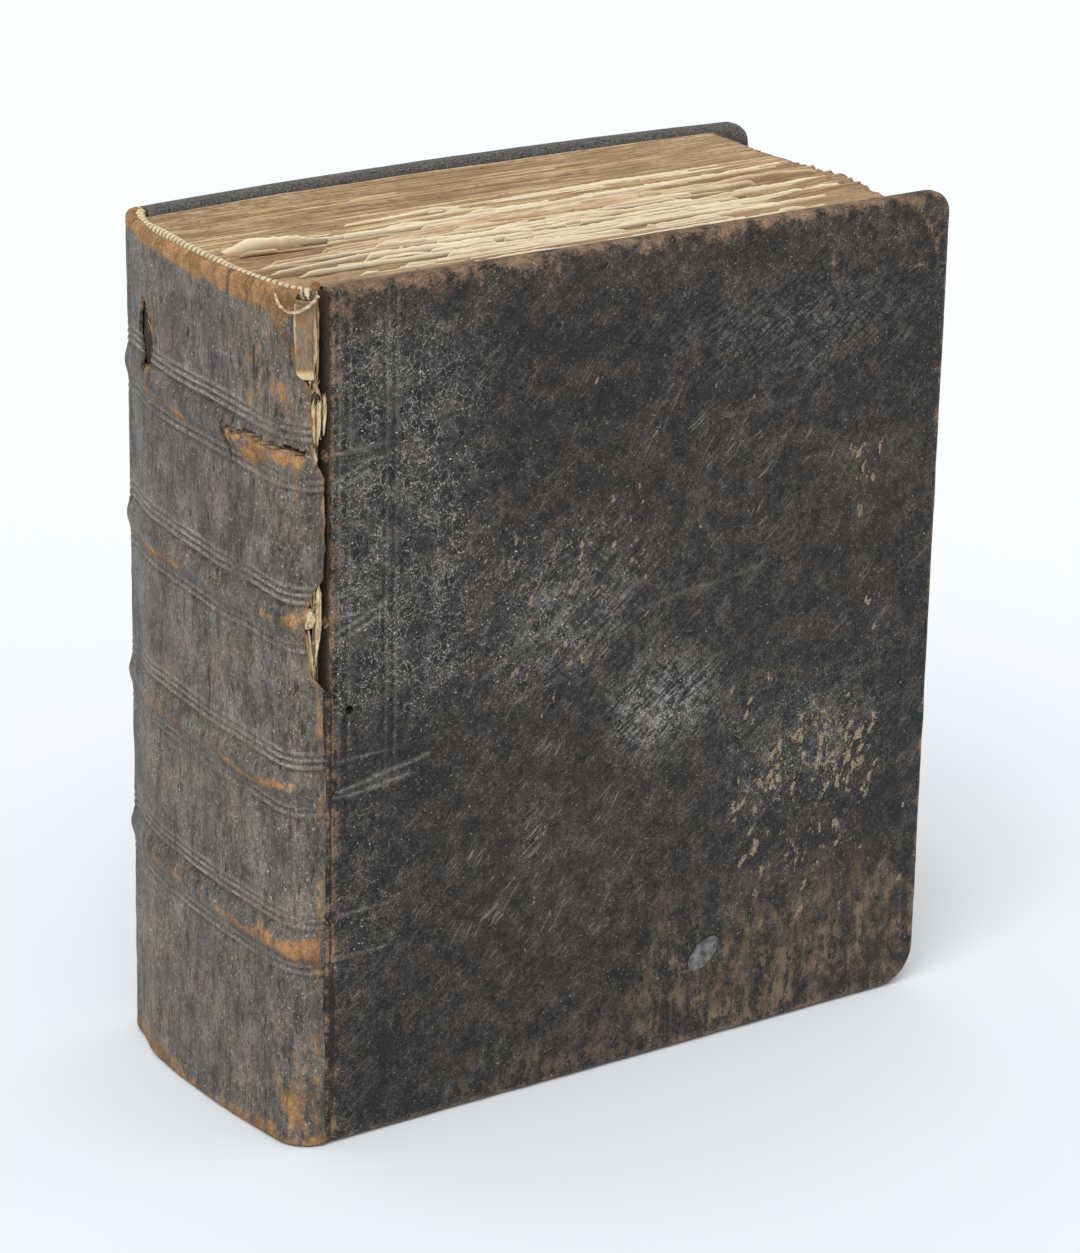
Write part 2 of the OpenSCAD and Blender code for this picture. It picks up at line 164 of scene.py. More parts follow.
dealer = np.random.default_rng(1701)
group_edge = np.linspace(-BLOCK_HALF, BLOCK_HALF, LEAF_GROUPS + 1)
group_edge[1:-1] += dealer.uniform(-0.14, 0.14, LEAF_GROUPS - 1)
group_drop = dealer.uniform(0.0, 0.55, LEAF_GROUPS)
bundle_drop = dealer.random(LEAF_GROUPS // LEAF_BUNDLE)
group_drop = group_drop + 0.4 * bundle_drop[np.arange(LEAF_GROUPS) // LEAF_BUNDLE]
torn = np.exp(-((0.5 * (group_edge[1:] + group_edge[:-1]) + 6) / 16.0) ** 4)
torn_drop = torn * dealer.uniform(0.6, 2.4, LEAF_GROUPS)
group_dust = dealer.uniform(-0.5, 0.5, LEAF_GROUPS)
row_y, row_dip, row_group = [-BLOCK_HALF], [0.0], [0]
for g in range(LEAF_GROUPS):
    low, high = group_edge[g], group_edge[g + 1]
    row_y += [low + 0.15 * (high - low), high - 0.15 * (high - low), high]
    row_dip += [0.0, 0.0, PARTING]
    row_group += [g, g, g]
row_y, row_dip, row_group = np.array(row_y), np.array(row_dip), np.array(row_group)
row_dip[-1] = 0.0
HEAD_STEPS, FORE_STEPS, TAIL_STEPS = 112, 44, 32
head_t = np.linspace(0, 1, HEAD_STEPS)
fore_t = np.linspace(0, 1, FORE_STEPS + 1)[1:]
tail_t = np.linspace(0, 1, TAIL_STEPS + 1)[1:]
row_back = block_back_x(row_y, 1.6)
row_fore = fore_edge_x(row_y)
leaf_rows = []
for r in range(len(row_y)):
    g, y = row_group[r], row_y[r]
    top = head_z(y) - 0.2 * group_drop[g] - row_dip[r]
    foot = LEAF_TAIL + 0.3 * group_drop[g] + 0.7 * row_dip[r]
    fore = row_fore[r] - 0.15 * group_drop[g] - 0.3 * row_dip[r]
    head_x = row_back[r] + (fore - row_back[r]) * head_t
    head_top = top - (0.8 * group_drop[g] + torn_drop[g]) * (1 - ease(head_x, 40.0, 94.0))
    head_line = points_of(head_x, y, head_top)
    fore_line = points_of(fore, y, top + (foot - top) * fore_t)
    tail_line = points_of(fore + (row_back[r] - fore) * tail_t, y, foot)
    leaf_rows.append(np.concatenate([head_line, fore_line, tail_line]))
leaf_points = np.array(leaf_rows)
steps = np.arange(leaf_points.shape[1])
on_head, on_fore = steps < HEAD_STEPS, (steps >= HEAD_STEPS) & (steps < HEAD_STEPS + FORE_STEPS)
group_grid = row_group[:, None]
wave_x, wave_z = leaf_points[..., 0], leaf_points[..., 2]
uneven = ripple(wave_x / 26.0, group_grid * 0.37, 11, 4)
torn_row = torn[row_group][:, None]
leaf_points[..., 2] += np.where(on_head, (0.35 + 1.1 * torn_row) * uneven, 0)
leaf_points[..., 0] += np.where(on_fore, 0.8 * ripple(wave_z / 40.0, group_grid * 0.31, 12, 4), 0)
waver = ripple(wave_x / 45.0 + wave_z / 60.0, row_y[:, None] / 9.0, 13, 2)
leaf_points[..., 1] += 0.35 * waver * (np.abs(row_y) < BLOCK_HALF - 1)[:, None]
swell = np.clip(row_y, 0, None)[:, None] / BLOCK_HALF
leaf_points[..., 1] += swell * back_bow(wave_x)
leaves = make_mesh("leaves", leaf_points, net(*leaf_points.shape[:2], turned=True))
dip_grid = np.broadcast_to(row_dip[:, None], wave_x.shape)
# Painted shade: each parting between gatherings is darkened in the colour.
mark(leaves, "gap", dip_grid / PARTING)
bright = (dealer.random(LEAF_GROUPS) > 0.86).astype(float)[row_group][:, None]
cream = 0.16 + 0.2 * group_dust[row_group][:, None] + 0.14 * ripple(wave_x / 60.0, group_grid * 0.53, 14)
cream = cream + 0.6 * bright * ease(ripple(wave_x / 50.0, group_grid * 0.7, 15, 2), -0.1, 0.3)
cream = cream - 0.12 * torn_row * on_head + 0.12 * ~on_head
mark(leaves, "cream", np.clip(cream, 0, 1))


def tone(red, green, blue):
    """A colour as a screen shows it, in the linear values that a shader takes."""
    share = np.array([red, green, blue]) / 255.0
    linear = np.where(share <= 0.04045, share / 12.92, ((share + 0.055) / 1.055) ** 2.4)
    return (*[float(v) for v in linear], 1.0)


def feed(tree, socket, value):
    """Sets an input to a value, or links another node's output to it."""
    if isinstance(value, bpy.types.NodeSocket):
        tree.links.new(value, socket)
    else:
        socket.default_value = value


def add(tree, kind, inputs=None, **settings):
    """One node, with each input set to a value or linked to another node's output."""
    made = tree.nodes.new("ShaderNode" + kind)
    for key, value in settings.items():
        setattr(made, key, value)
    for key, value in (inputs or {}).items():
        feed(tree, made.inputs[key], value)
    return made


def finish_named(name):
    """A new material, its node tree, its surface shader and its coordinates in millimetres."""
    finish = bpy.data.materials.new(name)
    finish.use_nodes = True
    tree = finish.node_tree
    tree.nodes.clear()
    shader = add(tree, "BsdfPrincipled")
    add(tree, "OutputMaterial", {"Surface": shader.outputs[0]})
    place = add(tree, "TexCoord").outputs["Object"]
    place = add(tree, "VectorMath", {0: place, 1: (1000, 1000, 1000)}, operation="MULTIPLY").outputs[0]
    return finish, tree, shader, place


def stretched(tree, place, stretch, shift=(0, 0, 0)):
    """Coordinates squeezed or drawn out along each axis."""
    return add(tree, "Mapping", {"Vector": place, "Scale": stretch, "Location": shift}).outputs[0]


def grain(tree, place, size, detail=3.0, roughness=0.55):
    """Uneven tone from 0 to 1 with features of about a size in millimetres."""
    settings = {"Vector": place, "Scale": 1 / size, "Detail": detail, "Roughness": roughness}
    return add(tree, "TexNoise", settings).outputs[0]


def level(tree, value, low, high, to_low=0.0, to_high=1.0):
    """A value spread smoothly between two limits."""
    made = add(tree, "MapRange", {"Value": value, "From Min": low, "From Max": high,
                                  "To Min": to_low, "To Max": to_high}, interpolation_type="SMOOTHSTEP")
    return made.outputs[0]


def maths(tree, operation, first, second=0.0, clamp=False):
    """One sum on two values."""
    return add(tree, "Math", {0: first, 1: second}, operation=operation, use_clamp=clamp).outputs[0]


def plus(tree, first, second, clamp=False):
    """Two values added."""
    return maths(tree, "ADD", first, second, clamp)


def times(tree, first, second, clamp=False):
    """Two values multiplied."""
    return maths(tree, "MULTIPLY", first, second, clamp)


def lay_over(tree, share, below, above):
    """One colour laid over another by a share."""
    return add(tree, "Mix", {0: share, 6: below, 7: above}, data_type="RGBA", clamp_factor=True).outputs[2]


def marked(tree, name):
    """The number kept on the piece under a name."""
    return add(tree, "Attribute", attribute_name=name).outputs["Fac"]


def raise_up(tree, shader, height, distance, strength=1.0):
    """Fine relief in the light, from a height and its full depth in millimetres."""
    bump = add(tree, "Bump", {"Height": height, "Distance": distance * MM, "Strength": strength})
    tree.links.new(bump.outputs[0], shader.inputs["Normal"])


def coat(tree, shader, colour, roughness, shine=0.5):
    """Gives a surface its colour, its roughness and the strength of its shine."""
    feed(tree, shader.inputs["Base Color"], colour)
    feed(tree, shader.inputs["Roughness"], roughness)
    feed(tree, shader.inputs["Specular IOR Level"], shine)


def paper_finish(name, dusty, clean, gap_tone, foxing, leaf_lines):
    """Old rag paper, with dust in streaks along the leaves, brown foxing and painted shade in the gaps."""
    finish, tree, shader, place = finish_named(name)
    lines = grain(tree, stretched(tree, place, (0.018, 2.4, 0.018)), 1.0, 5.0, 0.75)
    blots = grain(tree, stretched(tree, place, (0.4, 1.0, 0.4)), 9.0, 4.0, 0.6)
    fox = grain(tree, stretched(tree, place, (1, 1, 1), (31, 7, 3)), 2.2, 3.0, 0.6)
    share = marked(tree, "cream")
    if leaf_lines:
        share = plus(tree, share, level(tree, lines, 0.32, 0.68, -0.4, 0.4))
    share = plus(tree, share, level(tree, blots, 0.3, 0.7, -0.14, 0.14), True)
    colour = lay_over(tree, share, dusty, clean)
    colour = lay_over(tree, level(tree, fox, 0.56, 0.74, 0.0, foxing), colour, tone(121, 96, 68))
    # Painted shade: darker where a piece marks a gap between leaves or the foot of a torn strip.
    colour = lay_over(tree, times(tree, marked(tree, "gap"), 0.72), colour, gap_tone)
    coat(tree, shader, colour, 0.92, 0.15)
    raise_up(tree, shader, plus(tree, lines, times(tree, fox, 0.5)), 0.35, 0.7)
    return finish


leaf_finish = paper_finish("leaf_paper", dusty=tone(166, 135, 104), clean=tone(250, 220, 172),
                           gap_tone=tone(74, 52, 36), foxing=0.5, leaf_lines=True)
leaves.data.materials.append(leaf_finish)
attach(leaves, "book_block")
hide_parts("text_block")

# Torn leaves: in the front half of the block many leaves are torn at the head, and their cream edges
# lean over and curl in ragged bundles with dark gaps between them. Each strip is painted darker at its
# foot as painted shade and lighter towards its top as painted highlight.


def thicken(piece, thickness, rim_only=False):
    """Gives a sheet its thickness in millimetres, inwards from its face."""
    sheet = piece.modifiers.new("thickness", "SOLIDIFY")
    sheet.thickness = thickness * MM
    sheet.offset = -1
    sheet.use_rim_only = rim_only


TORN_BUNDLES = [
    # path of the foot along the head (x, y), rise of the last leaf, number of leaves
    ([(-62, 12.0), (-8, 14.0), (43, 15.6), (92, 14.3)], 1.7, 4),
    ([(-84, 7.6), (-59, 5.6), (-38, 4.0), (-11, 4.8), (29, 5.6), (53, 7.0), (94, 9.8)], 3.0, 6),
    ([(-44, 1.8), (-8, 2.4), (40, 2.2), (96, 4.0)], 1.9, 3),
    ([(-87, -6.0), (-58, -4.4), (-30, -2.4), (0, -1.4), (47, -1.4), (83, -0.6), (97, -2.0)], 2.7, 6),
    ([(-86, -11.5), (-58, -9.4), (-31, -8.8), (3, -9.6), (51, -10.0), (96, -9.0)], 2.6, 5),
    ([(-80, -15.6), (-57, -15.8), (-30, -16.4), (6, -17.0), (66, -16.0), (95, -15.0)], 2.4, 5),
    ([(-66, -21.0), (-29, -22.0), (20, -22.4), (92, -21.0)], 2.2, 4),
    ([(-85, -28.6), (-65, -27.0), (-40, -27.4), (10, -28.0), (90, -27.0)], 2.2, 4),
    ([(-70, -34.0), (0, -33.6), (95, -33.0)], 1.8, 3),
    ([(10, 20.6), (60, 21.6), (90, 20.0)], 0.9, 2),
    ([(-60, 29.0), (10, 30.5), (88, 29.0)], 0.7, 1),
]
strip_points, strip_faces, strip_cream_and_highlight, strip_gap, filled = [], [], [], [], 0
STRIP_UP = np.array([0.0, 0.45, 0.8, 1.0])[:, None]
# Painted shade, strongest at the foot of each strip and gone above its middle.
STRIP_FOOT_SHADE = np.array([1.0, 0.55, 0.0, 0.0])[:, None]
for b, (path, rise, count) in enumerate(TORN_BUNDLES):
    path = np.array(path, float)
    for n in range(count):
        seed = 300 + 20 * b + n
        length = path[-1, 0] - path[0, 0]
        start = path[0, 0] + length * dealer.uniform(0.0, 0.32) * (n > 0)
        stop = path[-1, 0] - length * dealer.uniform(0.0, 0.32) * (n < count - 1)
        x = np.linspace(start, stop, int((stop - start) / 0.62) + 2)
        foot = np.interp(x, path[:, 0], path[:, 1]) + (n - count / 2) * 0.8 + 0.5 * ripple(x / 34, n, seed, 2)
        foot = foot + np.clip(foot, 0, None) / BLOCK_HALF * back_bow(x)
        knots = [start - 1.0]
        while knots[-1] < stop:
            knots.append(knots[-1] + dealer.uniform(2.0, 5.0) + dealer.random() ** 2 * 36)
        tear = np.interp(x, knots, dealer.uniform(0.3, 1.0, len(knots)))
        tear = tear + 0.1 * ripple(x / 1.6, n, seed + 6, 3, 0.6)
        tear = np.where(ripple(x / 19.0, n * 1.7, seed + 5, 2) < -0.42, 0.1, tear)
        tear = tear * ease(x, start, start + 3) * ease(-x, -stop, -stop + 3)
        tall = 0.85 * rise * (0.35 + 0.65 * (n + 1) / count) * tear
        curl = ease(ripple(x / 16.0, n, seed + 9, 2), 0.1, 0.6)
        y = foot + STRIP_UP ** 2 * tall * (0.2 + 0.5 * curl)
        y = y + 0.1 * ripple(x / 5.0, STRIP_UP * 2, seed + 3, 2)
        z = head_z(foot) - 1.9 + (tall + 0.9) * (STRIP_UP - 0.16 * curl * STRIP_UP ** 3)
        strip_points.append(points_of(x, y, z).reshape(-1, 3))
        strip_faces.append(net(len(STRIP_UP), len(x), first=filled))
        soiled = dealer.random() < 0.22
        # Painted highlight: each strip is lighter towards its top; about one strip in five is soiled darker.
        shade = 0.62 + 0.5 * STRIP_UP + 0.22 * ripple(x / 24.0, STRIP_UP * 2, seed + 7, 3) - 0.6 * soiled
        strip_cream_and_highlight.append(np.clip(shade, 0, 1).ravel())
        strip_gap.append(np.broadcast_to(STRIP_FOOT_SHADE, shade.shape).ravel())
        filled += len(STRIP_UP) * len(x)
SCRAP_ROWS, SCRAP_COLUMNS = 9, 60
scrap_x = np.linspace(-87.5, -58.0, SCRAP_COLUMNS)[None, :]
scrap_up = np.linspace(0, 1, SCRAP_ROWS)[:, None]
scrap_tall = 2.5 * ease(scrap_x, -88, -78) * (1 - 0.8 * ease(scrap_x, -76, -57))
scrap_tall = scrap_tall * (1 + 0.45 * ripple(scrap_x / 2.4, 1, 391, 4, 0.6))
scrap_y = 7.2 - 0.05 * (scrap_x + 88) + 0.5 * ripple(scrap_x / 9.0, scrap_up, 392, 2)
scrap_y = scrap_y + 2.0 * scrap_up ** 1.6 * ease(-scrap_x, 56, 76)
scrap_bow = np.sin(scrap_up * 2.0) / np.sin(2.0) * (0.55 + 0.45 * scrap_up)
scrap_z = head_z(scrap_y) - 1.2 + (scrap_tall + 1.0) * scrap_bow
strip_points.append(points_of(scrap_x, scrap_y, scrap_z).reshape(-1, 3))
strip_faces.append(net(SCRAP_ROWS, SCRAP_COLUMNS, first=filled))
# The curled scrap: painted highlight towards its top and painted shade at its foot.
scrap_cream_and_highlight = 0.45 + 0.6 * scrap_up + 0.25 * ripple(scrap_x / 6.0, scrap_up * 2, 393, 3)
strip_cream_and_highlight.append(np.clip(scrap_cream_and_highlight, 0, 1).ravel())
strip_gap.append(np.broadcast_to((1 - scrap_up) ** 3, scrap_cream_and_highlight.shape).ravel())
torn_leaves = make_mesh("torn_leaves", np.concatenate(strip_points), np.concatenate(strip_faces))
mark(torn_leaves, "cream", np.concatenate(strip_cream_and_highlight))
mark(torn_leaves, "gap", np.concatenate(strip_gap))
torn_finish = paper_finish("torn_paper", dusty=tone(200, 156, 112), clean=tone(255, 238, 204),
                           gap_tone=tone(58, 37, 23), foxing=0.12, leaf_lines=False)
torn_leaves.data.materials.append(torn_finish)
thicken(torn_leaves, 0.14)
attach(torn_leaves, "book_block")

# Sewing cords and their slips: four cords of twisted hemp that the leaves are sewn round, and the
# frayed ends of the same cords that are laced through the boards.
BACK_TURN = math.radians(7.618)
FLAT_ARC, JOINT_ARC = 38.990, 53.369


def spine_point(arc, depth):
    """A point under the spine's surface, by its distance round the back and its depth."""
    arc, depth = np.broadcast_arrays(np.asarray(arc, float), np.asarray(depth, float))
    side = np.sign(arc)
    depth = depth + BACK_EASE * ease(arc, 20.0, 40.0) * ease(-arc, -53.3, -44.0)
    turn = arc / BACK_R
    x = BACK_X - (BACK_R - depth) * np.cos(turn)
    y = (BACK_R - depth) * np.sin(turn)
    bend = BACK_TURN + (np.abs(arc) - FLAT_ARC) / SHOULDER_R
    round_x = JOINT_X - (SHOULDER_R - depth) * np.cos(bend)
    round_y = side * (SHOULDER_Y + (SHOULDER_R - depth) * np.sin(bend))
    on_shoulder = np.abs(arc) > FLAT_ARC
    return np.where(on_shoulder, round_x, x), np.where(on_shoulder, round_y, y)


def tube(line, radius, sides):
    """A net of points round a line in space; radius is one number, or one for each ring and side."""
    ahead = np.gradient(line, axis=0)
    ahead /= np.linalg.norm(ahead, axis=1)[:, None]
    aside = np.cross(ahead, np.array([0.08, 0.05, 1.0]))
    aside /= np.linalg.norm(aside, axis=1)[:, None]
    above = np.cross(aside, ahead)
    turn = np.linspace(0, 2 * np.pi, sides + 1)
    ring = aside[:, None] * np.cos(turn)[None, :, None] + above[:, None] * np.sin(turn)[None, :, None]
    reach = np.broadcast_to(np.asarray(radius, float), (len(line), sides + 1))
    return line[:, None] + ring * reach[..., None]


def cord_finish(name, light, dark):
    """Twisted hemp, with slanting strands and stray fibres."""
    finish, tree, shader, place = finish_named(name)
    twist = {"Vector": stretched(tree, place, (0.7, 0.7, 1.0)), "Scale": 0.28}
    twist.update({"Distortion": 2.0, "Detail": 2.0})
    strands = add(tree, "TexWave", twist, bands_direction="DIAGONAL").outputs["Fac"]
    fibre = grain(tree, stretched(tree, place, (0.4, 0.4, 3.0)), 0.7, 3.0)
    soil = grain(tree, place, 4.0, 3.0)
    colour = lay_over(tree, strands, dark, light)
    colour = lay_over(tree, level(tree, soil, 0.45, 0.7, 0.0, 0.6), colour, tone(112, 84, 56))
    coat(tree, shader, colour, 0.9, 0.15)
    raise_up(tree, shader, plus(tree, strands, fibre), 0.4, 0.8)
    return finish


def refinish(node, finish):
    """Gives a CAD node that stays its own finish."""
    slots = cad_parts[node].data.materials
    slots.clear()
    slots.append(finish)


BAND_FOOT = (56.6, 100.6, 144.6, 187.0)
BAND_RISE = [(-53, -0.4), (-45, 0.0), (-25, 1.6), (0, 3.4), (28, 5.2), (40, 5.0), (53, 3.0)]
hemp = cord_finish("hemp_cord", tone(206, 184, 146), tone(140, 112, 78))
CORD_SIDES = 12
cord_arc = np.linspace(-50.5, 50.5, 150)
cord_deep = 1.6 + 2.2 * ease(np.abs(cord_arc), 40, 48)
for n, foot in enumerate(BAND_FOOT, 1):
    x, y = spine_point(cord_arc, cord_deep)
    line = points_of(x, y, foot + np.interp(cord_arc, *np.array(BAND_RISE).T))
    turn = np.linspace(0, 1, CORD_SIDES + 1)[None, :]
    lay = np.abs(np.sin(np.pi * (cord_arc[:, None] / 3.1 + 2 * turn))) ** 0.7
    cord = make_mesh(f"cord_{n}", tube(line, 2.0 + 0.25 * lay, CORD_SIDES), net(len(line), CORD_SIDES + 1))
    cord.data.materials.append(hemp)
    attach(cord, "book_block")
    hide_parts(f"sewing_cord_{n}")
    refinish(f"front_slip_{n}", hemp)
    refinish(f"back_slip_{n}", hemp)

# Spine linings: sheets of coarse waste paper glued between the cords, and the strip of it that shows
# where the leather is torn away at the head of the front joint, stained grey and orange.


def lining_finish(name, paper, stain, fluff):
    """Coarse paper, brown with old glue."""
    finish, tree, shader, place = finish_named(name)
    fibre = grain(tree, stretched(tree, place, (2.5, 2.5, 0.5)), 1.0, 4.0, 0.65)
    blots = grain(tree, place, 3.2, 4.0, 0.6)
    grey = grain(tree, stretched(tree, place, (1, 1, 0.5), (9, 4, 2)), 2.4, 3.0, 0.6)
    colour = lay_over(tree, level(tree, fibre, 0.4, 0.8, 0.0, 0.5), paper, fluff)
    colour = lay_over(tree, level(tree, blots, 0.46, 0.66), colour, stain)
    colour = lay_over(tree, level(tree, grey, 0.5, 0.68, 0.0, 0.7), colour, tone(96, 88, 80))
    colour = lay_over(tree, marked(tree, "rim"), colour, tone(244, 220, 174))
    coat(tree, shader, colour, 0.9)
    raise_up(tree, shader, plus(tree, fibre, blots), 0.35, 0.8)
    return finish


# The linings are painted near black: brown with old glue, and painted shade for where they show through the
# splits in the spine leather.
shaded_lining = lining_finish("lining_paper", tone(44, 33, 24), tone(30, 22, 16), tone(84, 66, 48))
LINING_ROWS, LINING_COLUMNS, LINING_THICK = 24, 70, 0.35
for n in range(1, 6):
    low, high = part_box(f"spine_lining_{n}")
    sheet_z = np.linspace(low.z / MM, high.z / MM, LINING_ROWS)[:, None]
    sheet_arc = np.linspace(-49.0, 49.0, LINING_COLUMNS)[None, :]
    x, y = spine_point(sheet_arc, 1.25 + 0.08 * ripple(sheet_arc / 8.0, sheet_z / 8.0, 40 + n, 2))
    paper = make_mesh(f"lining_{n}", points_of(x, y, sheet_z), net(LINING_ROWS, LINING_COLUMNS, turned=True))
    paper.data.materials.append(shaded_lining)
    thicken(paper, LINING_THICK)
    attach(paper, "book_block")
    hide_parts(f"spine_lining_{n}")

TAB_LOW, TAB_HIGH = 207.5, 226.5
TAB_ROWS, TAB_COLUMNS = 42, 16
tab_z = np.linspace(TAB_LOW, TAB_HIGH, TAB_ROWS)[:, None]
tab_t = np.linspace(0, 1, TAB_COLUMNS)[None, :]
tab_near = -49.3 - 0.5 * ripple(tab_z / 4.0, 0, 51) - 1.0 * ease(tab_z, 222, 227)
tab_far = -44.2 + 0.5 * ripple(tab_z / 3.0, 3, 52) + 1.0 * ease(-tab_z, -210, -207)
tab_arc = tab_near + (tab_far - tab_near) * tab_t
tab_depth = 0.35 + 0.25 * ripple(tab_z / 5.0, tab_arc / 3.0, 53) + 0.25 * ease(tab_t, 0.6, 1.0)
tab_x, tab_y = spine_point(tab_arc, tab_depth)
lining_tab = make_mesh("lining_tab", points_of(tab_x, tab_y, tab_z), net(TAB_ROWS, TAB_COLUMNS, turned=True))
tab_rim = np.maximum(ease(tab_t, 0.82, 0.94), ease(-tab_z, -210.2, -209.0))
mark(lining_tab, "rim", 0.9 * tab_rim * (0.75 + 0.25 * ripple(tab_z / 2.0, tab_t * 3, 54, 2)))
stained = lining_finish("stained_lining", tone(132, 112, 90), tone(150, 102, 58), tone(196, 176, 142))
lining_tab.data.materials.append(stained)
thicken(lining_tab, LINING_THICK)
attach(lining_tab, "book_block")
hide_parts("joint_lining_tab")

# Endbands: a cord core wound with pale thread, sewn at head and tail and lying inside the caps of the
# spine. At the front of the head the end of the thread hangs loose.
BAND_SIDES, BAND_STEP = 14, 0.22
ENDBAND_HEAD = [(-89.0, 45.4), (-91.6, 43.0), (-93.6, 38.2), (-95.0, 31.6), (-95.9, 23.8), (-96.6, 14.8),
                (-97.0, 6.0), (-97.0, -1.0), (-97.2, -9.6), (-97.6, -19.8), (-97.2, -27.5), (-95.6, -37.0),
                (-94.0, -41.0), (-92.6, -44.0)]


def along(points, step):
    """Points at even steps on a smooth line through the given ones, and the distance to each."""
    points = np.asarray(points, float)
    knots = np.concatenate([[0], np.cumsum(np.linalg.norm(np.diff(points, axis=0), axis=1))])
    fine = np.linspace(0, knots[-1], max(int(knots[-1] / step) + 1, 4))
    slope = np.gradient(points, knots, axis=0)
    place = np.clip(np.searchsorted(knots, fine, "right") - 1, 0, len(knots) - 2)
    span = (knots[place + 1] - knots[place])[:, None]
    t = ((fine - knots[place])[:, None]) / span
    line = ((2 * t ** 3 - 3 * t ** 2 + 1) * points[place] + (t ** 3 - 2 * t ** 2 + t) * span * slope[place]
            + (-2 * t ** 3 + 3 * t ** 2) * points[place + 1] + (t ** 3 - t ** 2) * span * slope[place + 1])
    return line, fine


def wound_band(name, path, height, node, seed):
    """An endband: thread wound at a slant round a core that follows the back of the book."""
    line, run = along(np.array([(x, y, height) for x, y in path]), BAND_STEP)
    line[:, 2] += 0.45 * ripple(run / 9.0, 0, seed, 2)
    line[:, 0] += 0.4 * ripple(run / 12.0, 3, seed, 2)
    turn = np.linspace(0, 1, BAND_SIDES + 1)[None, :]
    winding = run[:, None] / 2.1 + 2.0 * turn + 0.12 * ripple(run[:, None] / 6, 0, seed + 1, 2)
    ridge = np.abs(np.sin(np.pi * winding)) ** 0.8
    radius = 1.1 + 0.6 * ridge + 0.14 * ripple(run[:, None] / 5.0, 0, seed + 2, 3)
    band = make_mesh(name, tube(line, radius, BAND_SIDES), net(len(line), BAND_SIDES + 1))
    mark(band, "ridge", ridge)
    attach(band, "book_block")
    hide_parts(node)
    return band


thread_finish, tree, shader, place = finish_named("endband_thread")
soil = grain(tree, place, 5.0, 4.0)
fibre = grain(tree, place, 0.5, 3.0)
# Painted shade: the thread is dark in the grooves between its turns and pale on the turns themselves.
colour = lay_over(tree, level(tree, marked(tree, "ridge"), 0.15, 0.8), tone(92, 74, 52), tone(228, 211, 174))
colour = lay_over(tree, level(tree, soil, 0.48, 0.68, 0.0, 0.45), colour, tone(150, 126, 92))
coat(tree, shader, colour, 0.85)
raise_up(tree, shader, fibre, 0.2, 0.7)
head_band = wound_band("head_band", ENDBAND_HEAD, 227.9, "head_endband", 71)
tail_arc = np.linspace(-50, 50, 24)
tail_x, tail_y = spine_point(tail_arc, 4.6)
tail_band = wound_band("tail_band", list(zip(tail_x, tail_y)), 1.95, "tail_endband", 72)
head_band.data.materials.append(thread_finish)
tail_band.data.materials.append(thread_finish)

# Boards: two plates of pasteboard, each with four lacing channels and holes for the cord slips. The
# leather hides them; their bare edges show only in the cracked joint.
pasteboard, tree, shader, place = finish_named("pasteboard")
layers = grain(tree, stretched(tree, place, (0.06, 2.6, 0.06)), 1.0, 3.0)
pulp = grain(tree, place, 1.4, 4.0)
colour = lay_over(tree, layers, tone(56, 42, 31), tone(92, 72, 52))
colour = lay_over(tree, level(tree, pulp, 0.46, 0.68, 0.0, 0.7), colour, tone(38, 28, 20))
coat(tree, shader, colour, 0.93)
raise_up(tree, shader, plus(tree, layers, pulp), 0.35, 0.7)
refinish("front_board", pasteboard)
refinish("back_board", pasteboard)

# Cover leathers: near-black calf pared thin, drawn over each board and turned in round its edges.
# Two pairs of blind lines run down beside the front joint and four pairs run across to it; the surface
# is crackled, scuffed and rubbed, and an insect has bored one hole.
COVER_H = 230.0
EDGE_X = -89.85
HEAD_CORNER, TAIL_CORNER = 6.0, 11.0
EDGE_ROUND = 1.8
BAND_HEIGHTS = (56.5, 100.0, 143.5, 187.0)
LINES_DOWN = (2.1, 5.2, 16.2, 19.0)
LINES_ACROSS = (186.8, 183.6, 149.6, 144.2, 105.2, 95.6, 62.8, 50.8)
WORM_HOLE = (6.3, 119.8)
# inset from the edge and depth of each ring of points in the turned-in leather
TURN_IN = [(0.0, -44.9), (0.0, -43.7), (0.25, -42.7), (0.9, -42.0), (1.8, -41.62), (6.0, -41.55),
           (16.0, -41.5)]
JOINT_WALL = [(0.0, -46.2), (0.1, -45.0), (0.15, -43.4)]


def spaced(*stretches):
    """Places along an edge: each stretch is a start, an end and the step to take in it."""
    lines = []
    for start, end, step in stretches:
        count = max(int(round((end - start) / step)), 1)
        lines.append(np.linspace(start, end, count, endpoint=False))
    return np.concatenate(lines + [np.array([stretches[-1][1]])])


def rounded(x, z, inset):
    """Brings places on a square-cornered cover to its rounded fore corners, drawn in by an inset."""
    far, top, low = FORE_X - inset, COVER_H - inset, inset
    x = np.clip(x, EDGE_X, far)
    z = np.clip(z, low, top)
    for corner, sign in ((HEAD_CORNER, 1), (TAIL_CORNER, -1)):
        r = max(corner - inset, 0.02)
        cx, cz = far - r, (top - r if sign > 0 else low + r)
        dx, dz = x - cx, sign * (z - cz)
        in_corner = (dx > 0) & (dz > 0)
        longest, reach = np.maximum(dx, dz), np.hypot(dx, dz) + 1e-9
        x = np.where(in_corner, cx + dx * longest / reach, x)
        z = np.where(in_corner, cz + sign * dz * longest / reach, z)
    return x, z


